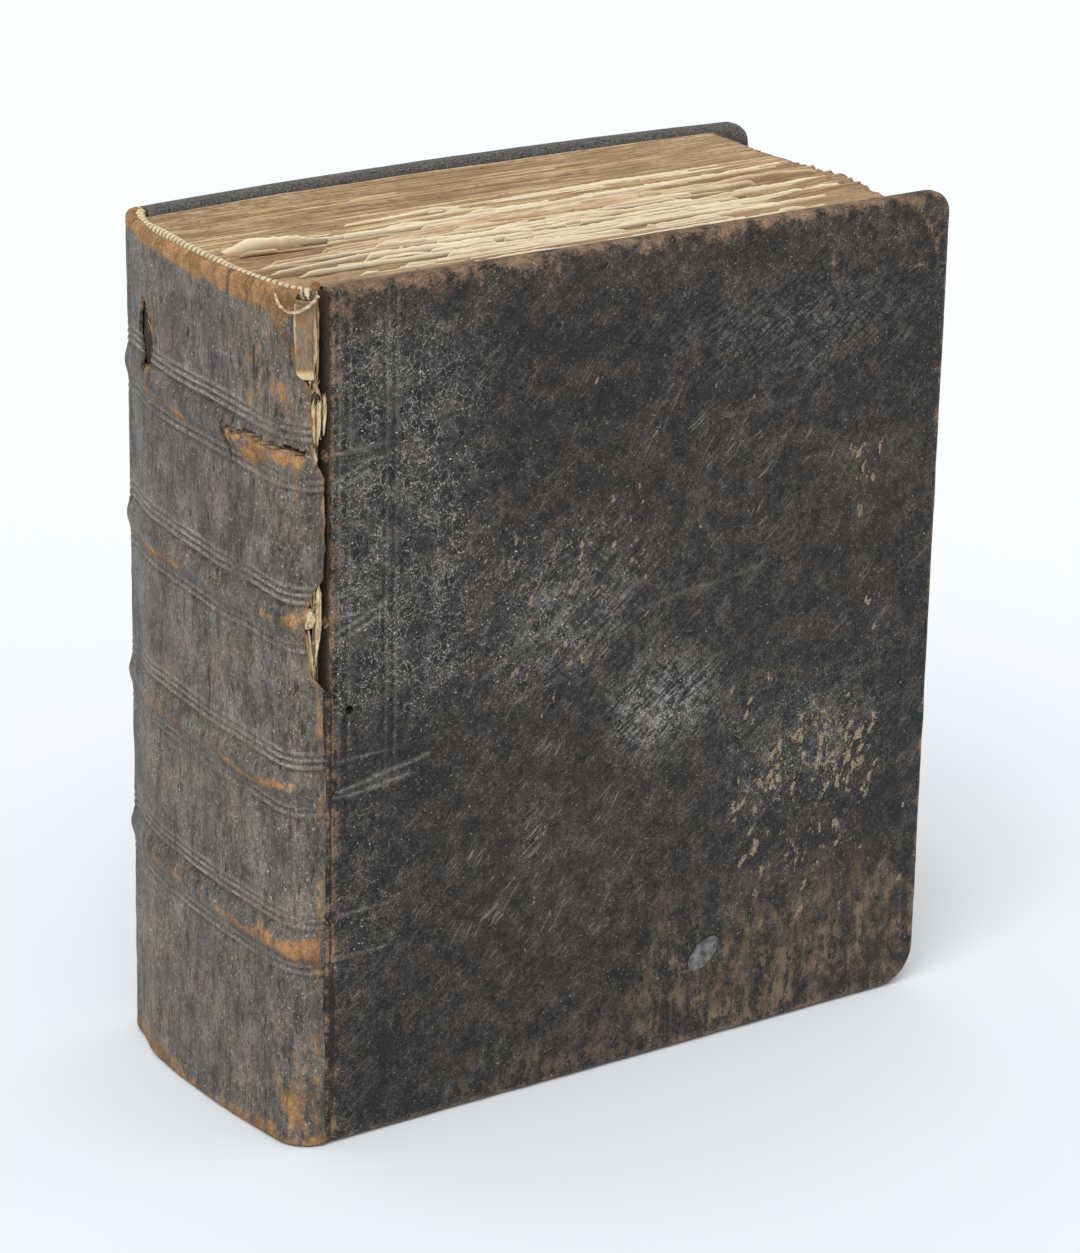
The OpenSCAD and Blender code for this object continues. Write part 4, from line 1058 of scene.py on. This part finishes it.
wall = spaced((1.4, 48, 0.95), (48, 72, 0.62), (72, 92, 0.95), (92, 116, 0.62), (116, 136, 0.95),
              (136, 160, 0.62), (160, 176, 0.95), (176, 226, 0.62), (226, 228.4, 0.6))
head_turn = np.radians(np.linspace(12, 225, 15))
tail_turn = np.radians(np.linspace(225, 12, 15))
row_z = np.concatenate([1.3 - CAP_R * np.sin(tail_turn), wall, 228.4 + CAP_R * np.sin(head_turn)])
row_in = np.concatenate([CAP_R - CAP_OUT - CAP_R * np.cos(tail_turn),
                         -CAP_OUT * np.maximum(ease(-wall, -4.0, -1.3), ease(wall, 225.6, 228.4)),
                         CAP_R - CAP_OUT - CAP_R * np.cos(head_turn)])
z = np.clip(row_z, 0.03, None)[:, None]
share = np.linspace(0, 1, SPINE_COLUMNS)
share = (0.8 * share + 0.2 * share ** 2)[None, :]
tear = np.interp(z, *np.array(TEAR).T) + 0.45 * ripple(z / 2.6, 0.3, 201, 4) * ease(z, 120, 130)
edge = -JOINT_ARC + np.clip(tear, 0.2, None)
arc = edge + (JOINT_ARC - 0.3 - edge) * share
z = np.broadcast_to(z, arc.shape)
relief = 0.3 * ripple(arc / 17.0, z / 22.0, 202, 3) + 0.09 * ripple(arc / 1.5, z / 9.0, 203, 3)
relief += 0.08 * ripple(arc / 5.0, z / 4.0, 204, 3)
lean = np.interp(arc, *np.array(BAND_RISE).T)
front_half = ease(-arc, 24, 44)
band_top, tool_lip_highlight, tool_groove_shade, band_shade = np.zeros((4, *arc.shape))
faint = np.clip(0.75 + 0.6 * ripple(arc / 11.0, z / 30.0, 205, 2), 0.3, 1)
for n, foot in enumerate(BAND_FOOT):
    off = z - foot - lean - 0.5 * ripple(arc / 14.0, n, 206, 2)
    bell = np.where(np.abs(off) < BAND_HALF, 0.5 + 0.5 * np.cos(np.pi * off / BAND_HALF), 0)
    tall = 1.9 - 0.3 * front_half - 0.9 * ease(np.abs(arc), 46, 53) - 0.8 * ease(arc, 18, 34)
    relief += bell * tall * (0.92 + 0.16 * ripple(arc / 6.0, n + 0.5, 207, 2))
    band_top = np.maximum(band_top, bell)
    # Painted shade beside each band, strongest below it.
    band_shade = np.maximum(band_shade, np.exp(-((off + 4.9) / 1.5) ** 2) + 0.7 * np.exp(-((off - 4.4) / 1.1) ** 2))
    # Painted highlight on the lip beside each tooled groove, and painted shade in the groove.
    for line, deep in ((4.6, 0.46), (6.6, 0.4), (8.4, 0.3), (-6.2, 0.3), (-8.2, 0.22)):
        relief += groove(off - line, deep, 0.42) * faint
        tool_lip_highlight = np.maximum(tool_lip_highlight, 2.6 * deep * np.exp(-((off - line - 0.95) / 0.5) ** 2) * faint ** 2)
        tool_groove_shade = np.maximum(tool_groove_shade, np.exp(-((off - line) / 0.45) ** 2) * faint)
fuzz = ease(z, 222.8 + 0.05 * (arc + 20), 225.4 + 0.05 * (arc + 20))
relief += fuzz * (0.16 * ripple(arc / 0.9, z / 0.9, 208, 2) - 0.12)
lifted = near_line(arc, z, [(-24, 184.5), (-36, 186.5), (-47, 187.5)], 2.2)
relief += lifted * (0.35 * ripple(arc / 1.6, z / 1.2, 209, 3) - 0.3)
ragged_edge = ease(-(arc - edge), -1.6, 0) * ease(z, 122, 130)
relief += ragged_edge * 0.5 * ripple(z / 3.5, arc / 3.0, 210, 3)
clear = np.clip(JOINT_ARC - np.abs(arc), 0, None)
# kept low beside the joints, so that the open covers clear it
relief = np.minimum(relief, 0.08 * clear + clear ** 2 / 30)
depth = row_in[:, None] - relief * ease(-np.abs(row_in[:, None]), -1.2, -0.2)
cap_wave = ease(np.abs(row_in[:, None]), 0.1, 1.0) * 0.28 * ripple(arc / 7.0, row_in[:, None], 211, 3)
x, y = spine_point(arc, depth)
spine_points = np.stack([x, y, np.clip(z + cap_wave, 0.02, None)], -1)
rows, columns = arc.shape
faces = net(rows, columns, turned=True)
mid_arc, mid_z = arc.ravel()[faces].mean(1), z.ravel()[faces].mean(1)
mid_ragged = ripple(mid_arc / 1.7, mid_z / 2.2, 212, 3)
CRACK = [(-18.4, 188.0), (-20.6, 190.6), (-23.1, 189.8), (-29.9, 191.0), (-35.5, 189.6), (-42.7, 190.1),
         (-47.2, 188.8)]
cracked = near_line(mid_arc, mid_z + 0.8 * mid_ragged, CRACK, 0.8) > 0.5
split_off = np.abs(mid_arc - 23.6 - 0.1 * (mid_z - 203)) / (4.6 + 1.1 * mid_ragged)
split = split_off ** 1.6 + (np.abs(mid_z - 203.0) / 9.6) ** 2 < 1
slit_off = np.abs(mid_arc + 19.4 - 0.28 * (mid_z - 186)) / (0.75 + 0.4 * mid_ragged)
slit = slit_off ** 1.5 + (np.abs(mid_z - 186.0) / 5.2) ** 2 < 1
on_wall = (mid_z > 5) & (mid_z < 226)
spine_leather = make_mesh("spine_leather_skin", spine_points, faces[~((split | slit | cracked) & on_wall)])

patchy = 0.5 + 0.5 * ripple(arc / 4.0, z / 5.0, 220, 4)
coarse = 0.5 + 0.5 * ripple(arc / 13.0, z / 20.0, 221, 3)
TAN_LINES = [[(25, 188.6), (12, 188.2), (0.7, 187.0)], [(29, 145.7), (15, 146.4), (3.5, 146.3)],
             [(-35, 145.2), (-45, 145.1)], [(27, 103.3), (14, 103.6), (3.3, 103.0)],
             [(-18, 100.9), (-28, 98.6), (-44, 100.8)], [(28, 59.3), (17, 59.8), (2.5, 59.8)],
             [(-15, 58.0), (-29, 56.4), (-36, 57.0)]]
BARE = [(-34, 57.5), (-44, 55.0), (-49, 57.5), (-49.5, 50.0)]
warm_head = ease(z, 176, 214) * ease(-arc, 12, 40)
rubs = [near_line(arc, z, line, 1.6) * (0.35 + 0.8 * patchy) for line in TAN_LINES]
rubs += [
    fuzz * (0.72 + 0.45 * patchy),
    near_line(arc, z, BARE, 2.6) * (0.6 + 0.5 * patchy),
    lifted * (0.45 + 0.7 * patchy),
    0.9 * near_line(arc, z + 1.2, CRACK, 1.4) * (0.4 + 0.7 * patchy),
    ease(-z, -6.5 - 5.0 * coarse, -1.0) * (0.3 + 0.75 * patchy),
    near_spot(arc, z, (-46, 8), (9, 16)) * (0.2 + 0.75 * patchy),
    near_line(arc, z, [(-50.8, 0), (-50.8, 60), (-51.2, 124)], 1.1) * (0.1 + 0.6 * patchy),
    ragged_edge * (0.35 + 0.6 * patchy),
    0.4 * near_line(arc, z, [(-36, 222), (-41, 200), (-46, 176)], 7.0) * patchy,
    0.35 * band_top ** 2 * patchy,
    0.75 * warm_head * ease(patchy, 0.45, 0.75),
    0.8 * near_spot(arc, z, (23.5, 203), (6.2, 11.5)),
]
rub = np.maximum.reduce(rubs)
mark(spine_leather, "rub", np.clip(rub, 0, 1))
crackled = ease(-arc, 24, 34) * ease(arc, -52, -46) * (1 - 0.6 * band_top)
grey = np.maximum.reduce([0.3 + 0.35 * coarse, 0.85 * crackled * (0.4 + 0.6 * patchy), 0.4 * band_top])
mark(spine_leather, "grey", np.clip(grey, 0, 1))
worn = 0.14 * ease(ripple(arc / 6.0, z / 7.0, 223, 4), 0.05, 0.5)
# Line mark: painted highlight on the tool lips, with random real wear.
mark(spine_leather, "line", np.clip(0.85 * tool_lip_highlight + worn, 0, 1))
mark(spine_leather, "white", np.zeros(arc.shape))
mark(spine_leather, "fleck", np.clip(0.35 * coarse + 0.2 * band_top - 0.1, 0, 1))
mark(spine_leather, "streak", np.clip(0.45 * patchy * coarse, 0, 1))
mark(spine_leather, "scratch", np.clip(0.6 * patchy, 0, 1))
warm_low = ease(-z, -60, -10) * ease(arc, -45, -20)
brown = 0.2 + 0.35 * coarse + 0.5 * warm_low * coarse + 0.5 * fuzz + 0.6 * warm_head
mark(spine_leather, "brown", np.clip(brown, 0, 1))
nicks = np.maximum.reduce([near_spot(arc, z, (-0.7, 209.3), (0.7, 1.6)),
                           near_spot(arc, z, (2.9, 43.3), (0.8, 1.2)),
                           near_line(arc, z, [(-30.6, 205), (-30.2, 213)], 0.5),
                           0.5 * near_line(arc, z, [(-20, 180), (-18, 191)], 1.2)])
dull = 0.3 * ease(ripple(arc / 8.0, z / 9.0, 222, 5, 0.62), -0.05, 0.5)
dull = np.maximum(dull, 0.42 * ease(ripple(arc / 1.5, z / 8.0, 224, 3, 0.6), 0.08, 0.5))
# Dark mark: dark nicks and random dull patches, with painted shade in the tool grooves and beside the bands.
dark = np.maximum.reduce([nicks, 0.6 * tool_groove_shade, dull, 0.5 * band_shade * (0.4 + 0.6 * patchy)])
mark(spine_leather, "dark", np.clip(dark, 0, 1))
# The spine calf's base tones are lighter than the covers': partly faded leather, partly painted light for the
# lamp on that side.
spine_calf = leather_finish("spine_leather", black=tone(86, 83, 80), brown=tone(110, 99, 88),
                            deep=tone(34, 31, 30), pale=tone(182, 176, 167), tan=tone(198, 148, 96),
                            stretch=(1, 1, 0.5), crackle=1.7, frost=0.46, crease_shade=0.75)
spine_leather.data.materials.append(spine_calf)
thicken(spine_leather, 0.8, rim_only=True)
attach(spine_leather, "book_block")
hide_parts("spine_leather")

# Joints: the leather that hinges each cover. The back joint is whole; the front one holds only from the
# tail to the middle, worn to an orange line, and above that it is cracked through.
STRIP_FROM, STRIP_TO, STRIP_COLUMNS = -1.3, 2.4, 15


def joint_strip(name, side, low, high, seed):
    """A strip of leather from the spine's shoulder over the joint on to the cover."""
    up = np.linspace(low, high, int((high - low) / 1.1))[:, None]
    over = np.linspace(STRIP_FROM, STRIP_TO, STRIP_COLUMNS)[None, :]
    arc = JOINT_ARC + np.minimum(over, 0)
    x, y = spine_point(arc, -0.12 * np.ones_like(arc))
    x = x + np.maximum(over, 0)
    uneven = 0.1 * ripple(up / 5.0, over, seed, 3) + 0.12 * np.exp(-(over / 0.8) ** 2)
    ends = ease(up, low - 1, low + 3) * ease(-up, -high - 1, -high + 4)
    rise = (0.16 + uneven) * ends * ease(over, -1.4, -0.6) * ease(-over, -2.5, -1.5) - 0.22
    y = side * (y + rise)
    strip = make_mesh(name, points_of(x, y, up), net(len(up), STRIP_COLUMNS, turned=side < 0))
    patchy = 0.5 + 0.5 * ripple(up / 6.0, over / 2.0, seed + 1, 4)
    mark(strip, "rub", np.clip(np.exp(-((over + 0.2) / 0.9) ** 2) * (0.3 + 0.55 * patchy), 0, 1))
    mark(strip, "grey", 0.3 * patchy)
    mark(strip, "dark", np.clip(0.25 * (1 - patchy), 0, 1))
    mark(strip, "brown", 0.4 + 0.4 * patchy)
    for unmarked in ("fleck", "streak", "scratch", "white", "line"):
        mark(strip, unmarked, np.zeros(patchy.shape))
    strip.data.materials.append(cover_calf)
    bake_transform(strip)


joint_strip("front_joint", -1, 1.0, 126.0, 231)
joint_strip("back_joint", 1, 1.0, 228.5, 236)

# Loose bits: a pale flake stuck to the front cover, the broken cord ends and cream fibres that stand in
# the cracked joint, and the endband's last thread hanging in a loop over the tear.
FLAKE_SIDES = 20
flake_turn = np.linspace(0, 2 * np.pi, FLAKE_SIDES, endpoint=False)
flake_long = 6.0 * np.cos(flake_turn)
flake_wide = 3.4 * np.sin(flake_turn) * (1 + 0.25 * ripple(flake_turn, 0.5, 392, 2))
centre = np.array([119.9, 26.0])
flake_across, flake_up = 0.74 * flake_long - 0.67 * flake_wide, 0.67 * flake_long + 0.74 * flake_wide
flake_edge = centre + np.stack([flake_across, flake_up], -1)
rings = []
for reach in (0.02, 0.4, 0.75, 0.95, 1.0):
    ring = centre + (flake_edge - centre) * reach
    lift = 0.25 + 0.3 * reach ** 2 * (0.5 + 0.5 * np.sin(2 * flake_turn + 0.6))
    rings.append(np.stack([JOINT_X + ring[:, 0], -HALF_T - lift, ring[:, 1]], -1))
rings = np.array(rings)
rings = np.concatenate([rings, rings[:, :1]], 1)
flake = make_mesh("pale_flake", rings, net(len(rings), FLAKE_SIDES + 1))
flake_finish, tree, shader, place = finish_named("pale_flake")
film = grain(tree, place, 2.2, 4.0)
colour = lay_over(tree, level(tree, film, 0.35, 0.7), tone(66, 65, 65), tone(132, 131, 128))
coat(tree, shader, colour, 0.3)
raise_up(tree, shader, film, 0.3, 0.6)
flake.data.materials.append(flake_finish)
thicken(flake, 0.2)
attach(flake, "front_cover")


def splinter_finish(name, pale, brown, dark):
    """Torn paper and cord in long fibres, soiled in patches, with painted shade in the hollows."""
    finish, tree, shader, place = finish_named(name)
    fibre = grain(tree, stretched(tree, place, (2.6, 2.6, 0.22)), 1.0, 4.0, 0.65)
    soil = grain(tree, place, 3.0, 4.0, 0.6)
    colour = lay_over(tree, marked(tree, "cream"), brown, pale)
    colour = lay_over(tree, level(tree, fibre, 0.36, 0.52, 0.8, 0.0), colour, brown)
    colour = lay_over(tree, level(tree, soil, 0.5, 0.7, 0.0, 0.6), colour, brown)
    # Painted shade where a piece marks a gap or hollow.
    colour = lay_over(tree, marked(tree, "gap"), colour, dark)
    coat(tree, shader, colour, 0.9, 0.15)
    raise_up(tree, shader, fibre, 0.4, 0.9)
    return finish


SPLINTERS = [
    # line down the joint (arc, height), half width, depth of its middle, how pale
    ([(-51.0, 154.2), (-51.0, 148.0), (-50.9, 142.7), (-50.5, 137.5), (-50.1, 134.4)], 0.95, 0.9, 1.0),
    ([(-48.6, 154.0), (-48.9, 150.5), (-49.3, 147.0)], 0.5, 1.6, 0.35),
    ([(-47.2, 142.6), (-48.1, 136.3), (-49.1, 127.6)], 0.75, 1.3, 0.45),
    ([(-48.2, 142.4), (-48.9, 136.0), (-49.6, 130.0)], 0.5, 0.9, 0.75),
    ([(-49.3, 201.8), (-49.4, 196.4), (-49.8, 191.0)], 0.75, 0.9, 1.0),
    ([(-50.9, 201.9), (-50.9, 196.4), (-50.5, 190.6)], 0.8, 0.7, 0.95),
    ([(-52.6, 203.6), (-52.6, 198.4), (-52.3, 193.4)], 0.65, 0.7, 0.7),
    ([(-49.9, 228.0), (-49.6, 223.3), (-49.9, 217.7), (-49.8, 211.7), (-48.8, 206.9), (-48.6, 203.6)],
     0.8, 1.2, 0.6),
    ([(-51.0, 226.4), (-51.0, 219.0), (-50.9, 211.0), (-50.6, 203.0)], 0.6, 2.0, 0.2),
    ([(-49.7, 206.8), (-50.4, 204.6), (-51.6, 203.0)], 0.7, 0.7, 0.3),
]
SPLINTER_COLUMNS = 9
splinter_points, splinter_faces, splinter_cream, splinter_gap, filled = [], [], [], [], 0
for n, (path, half, deep, paleness) in enumerate(SPLINTERS):
    line, run = along(np.array([(a, h, 0.0) for a, h in path]), 0.35)
    t = run / run[-1]
    taper = ease(t, -0.02, 0.12) * (1 - 0.75 * ease(t, 0.6, 1.0)) * (1 + 0.25 * ripple(run / 2.5, n, 341, 3))
    across = np.linspace(-1, 1, SPLINTER_COLUMNS)[None, :]
    run, taper = run[:, None], taper[:, None]
    arc = line[:, :1] + half * taper * across + 0.12 * ripple(run / 1.5, across * 2, 342 + n, 2)
    depth = deep - 0.55 * (1 - across ** 2) * taper + 0.2 * ripple(run / 3.0, across * 2.2, 352 + n, 3)
    x, y = spine_point(arc, depth)
    splinter_points.append(points_of(x, y, line[:, 1:2]).reshape(-1, 3))
    splinter_faces.append(net(len(line), SPLINTER_COLUMNS, first=filled))
    shade = paleness * (0.75 + 0.4 * ripple(run / 6.0, across * 1.5, 362 + n, 3)) + 0.1
    splinter_cream.append(np.clip(shade, 0, 1).ravel())
    # Painted shade along the sunken sides of each splinter.
    splinter_gap.append(np.clip(0.75 * np.abs(across) ** 4 * np.ones(arc.shape) - 0.1, 0, 1).ravel())
    filled += len(line) * SPLINTER_COLUMNS
splinters = make_mesh("joint_splinters", np.concatenate(splinter_points), np.concatenate(splinter_faces))
mark(splinters, "cream", np.concatenate(splinter_cream))
mark(splinters, "gap", np.concatenate(splinter_gap))
torn_fibre = splinter_finish("torn_fibre", tone(250, 228, 182), tone(142, 100, 62), tone(46, 30, 20))
splinters.data.materials.append(torn_fibre)
thicken(splinters, 0.3)
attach(splinters, "book_block")

stub_points, stub_faces, stub_cream, stub_gap, filled = [], [], [], [], 0
STUB_ROWS, STUB_COLUMNS = 25, 37
STUBS = [
    # arc and height of its middle, half width, half height, how pale
    (-48.9, 187.2, 1.5, 2.6, 0.8), (-48.0, 145.4, 1.95, 2.6, 0.9), (-48.6, 101.1, 1.0, 1.3, 0.55),
    (-50.0, 231.0, 1.2, 1.1, 0.1),
]
for n, (arc, height, wide, tall, paleness) in enumerate(STUBS):
    turn = np.linspace(0, 2 * np.pi, STUB_COLUMNS)[None, :]
    tilt = np.linspace(0.02, np.pi - 0.02, STUB_ROWS)[:, None]
    fray = ripple(np.cos(turn) * 3.0 + 5 * np.cos(tilt), np.sin(turn) * 3.0 + 7 * n, 251 + n, 4, 0.6)
    frayed = 1 + 0.28 * fray
    cx, cy = spine_point(arc, 0.9)
    aside = wide * frayed * np.sin(tilt)
    ball = points_of(cx + aside * np.cos(turn), cy + aside * np.sin(turn),
                     height + tall * frayed * np.cos(tilt))
    stub_points.append(ball.reshape(-1, 3))
    stub_faces.append(net(STUB_ROWS, STUB_COLUMNS, first=filled))
    stub_cream.append(np.full(STUB_ROWS * STUB_COLUMNS, paleness))
    # Painted shade in the dents of each frayed end.
    stub_gap.append(np.clip(1.6 * (1.0 - frayed), 0, 0.9).ravel())
    filled += STUB_ROWS * STUB_COLUMNS
cord_ends = make_mesh("broken_cord_ends", np.concatenate(stub_points), np.concatenate(stub_faces))
mark(cord_ends, "cream", np.concatenate(stub_cream))
mark(cord_ends, "gap", np.concatenate(stub_gap))
cord_ends.data.materials.append(torn_fibre)
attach(cord_ends, "book_block")

fibre_points, fibre_faces, filled = [], [], 0
STRAND_STEPS, STRAND_SIDES = 7, 5
FIBRE_NESTS = [
    # arc and height of its middle, half width, half height, number of fibres
    (-50.8, 196.5, 1.6, 6.0, 26), (-50.0, 140.0, 1.5, 11.0, 22), (21.2, 206.5, 1.0, 4.0, 8),
    (-19.2, 186.0, 0.5, 4.0, 6), (-36.0, 186.8, 8.0, 0.9, 16), (-49.5, 205.0, 1.2, 3.0, 10),
]
for arc, height, wide, tall, count in FIBRE_NESTS:
    for n in range(count):
        a, h = arc + wide * dealer.uniform(-1, 1), height + tall * dealer.uniform(-1, 1)
        reach = dealer.uniform(1.6, 4.6)
        swing = dealer.uniform(-0.5, 0.5) if wide < tall else dealer.uniform(1.0, 2.0)
        t = np.linspace(0, 1, STRAND_STEPS)
        strand_arc = a + reach * np.sin(swing) * t + 0.5 * dealer.uniform(-1, 1) * t ** 2
        strand_z = h + reach * np.cos(swing) * t
        strand_depth = 1.0 - dealer.uniform(0.4, 1.3) * t ** 1.5
        strand_depth = np.maximum(strand_depth, 0.35 - 0.12 * (JOINT_ARC - np.abs(strand_arc)))
        px, py = spine_point(strand_arc, strand_depth)
        thin = (dealer.uniform(0.1, 0.24) * (1 - 0.75 * t))[:, None]
        fibre_points.append(tube(points_of(px, py, strand_z), thin, STRAND_SIDES).reshape(-1, 3))
        fibre_faces.append(net(STRAND_STEPS, STRAND_SIDES + 1, first=filled))
        filled += STRAND_STEPS * (STRAND_SIDES + 1)
fibres = make_mesh("torn_fibres", np.concatenate(fibre_points), np.concatenate(fibre_faces))
fibres.data.materials.append(cord_finish("loose_fibre", tone(236, 214, 174), tone(178, 140, 94)))
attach(fibres, "book_block")

loop_arc = np.array([-38.6, -40.6, -43.6, -47.1, -49.0, -50.8])
loop_z = np.array([228.4, 226.3, 224.7, 225.6, 227.1, 228.6])
loop_x, loop_y = spine_point(loop_arc, np.array([0.4, -0.5, -0.7, -0.6, -0.3, 0.6]))
loop_line, run = along(np.stack([loop_x, loop_y, loop_z], -1), 0.2)
THREAD_SIDES = 8
thread_skin = tube(loop_line, 0.42 + 0.06 * np.sin(run[:, None] * 5), THREAD_SIDES)
loose_thread = make_mesh("loose_thread", thread_skin, net(len(loop_line), THREAD_SIDES + 1))
loose_thread.data.materials.append(cord_finish("loose_thread", tone(232, 216, 182), tone(186, 160, 120)))
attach(loose_thread, "book_block")

# Table, light and camera: a wide white surface, one broad soft lamp from the upper left in front, and a
# long lens at the photograph's angle.
FLOOR_REACH = np.array([-5000.0, 5000.0])
floor = make_mesh("floor", points_of(FLOOR_REACH[None, :], FLOOR_REACH[:, None], -0.3), net(2, 2))
floor_finish, tree, shader, place = finish_named("white_sweep")
shade = grain(tree, place, 700.0, 2.0)
colour = lay_over(tree, shade, tone(243, 246, 250), tone(247, 250, 253))
coat(tree, shader, colour, 0.9, 0.1)
floor.data.materials.append(floor_finish)

sky = bpy.data.worlds.new("soft_room")
bpy.context.scene.world = sky
sky.use_nodes = True
sky.node_tree.nodes["Background"].inputs["Color"].default_value = (0.97, 0.985, 1.0, 1.0)
sky.node_tree.nodes["Background"].inputs["Strength"].default_value = 0.75

lamp = bpy.data.lights.new("window", "SUN")
lamp.energy, lamp.angle = 1.3, math.radians(40)
window = bpy.data.objects.new("window", lamp)
window.rotation_euler = Vector((0.5, 0.4, -0.86)).to_track_quat("-Z", "Y").to_euler()
bpy.context.scene.collection.objects.link(window)

EYE_AIM = Vector((-26.167, -HALF_T + MIDDLE_Y, 131.195)) * MM
EYE_TURN, EYE_LIFT, EYE_ROLL = math.radians(-34.672), math.radians(19.921), math.radians(1.13)
EYE_REACH = 1118.52 * MM
FILM, PHOTO_FOCUS, PHOTO_HEIGHT = 36.0, 4339.885, 1253.0
level_share = math.cos(EYE_LIFT)
back = Vector((math.sin(EYE_TURN) * level_share, -math.cos(EYE_TURN) * level_share, math.sin(EYE_LIFT)))
right = Vector((0, 0, 1)).cross(back).normalized()
upward = back.cross(right)
tilted_right = right * math.cos(EYE_ROLL) + upward * math.sin(EYE_ROLL)
tilted_up = upward * math.cos(EYE_ROLL) - right * math.sin(EYE_ROLL)
eye = bpy.data.cameras.new("eye")
eye.sensor_fit, eye.sensor_height, eye.lens = "VERTICAL", FILM, FILM * PHOTO_FOCUS / PHOTO_HEIGHT
eye.clip_start, eye.clip_end = 0.05, 50.0
stand = bpy.data.objects.new("eye", eye)
stand.matrix_world = Matrix((tilted_right, tilted_up, back)).transposed().to_4x4()
stand.matrix_world.translation = EYE_AIM + back * EYE_REACH
bpy.context.scene.collection.objects.link(stand)
bpy.context.scene.camera = stand
bpy.context.scene.view_settings.view_transform = "Standard"
bpy.context.scene.cycles.max_bounces = 2
bpy.context.scene.cycles.diffuse_bounces = 1
bpy.context.scene.cycles.glossy_bounces = 1
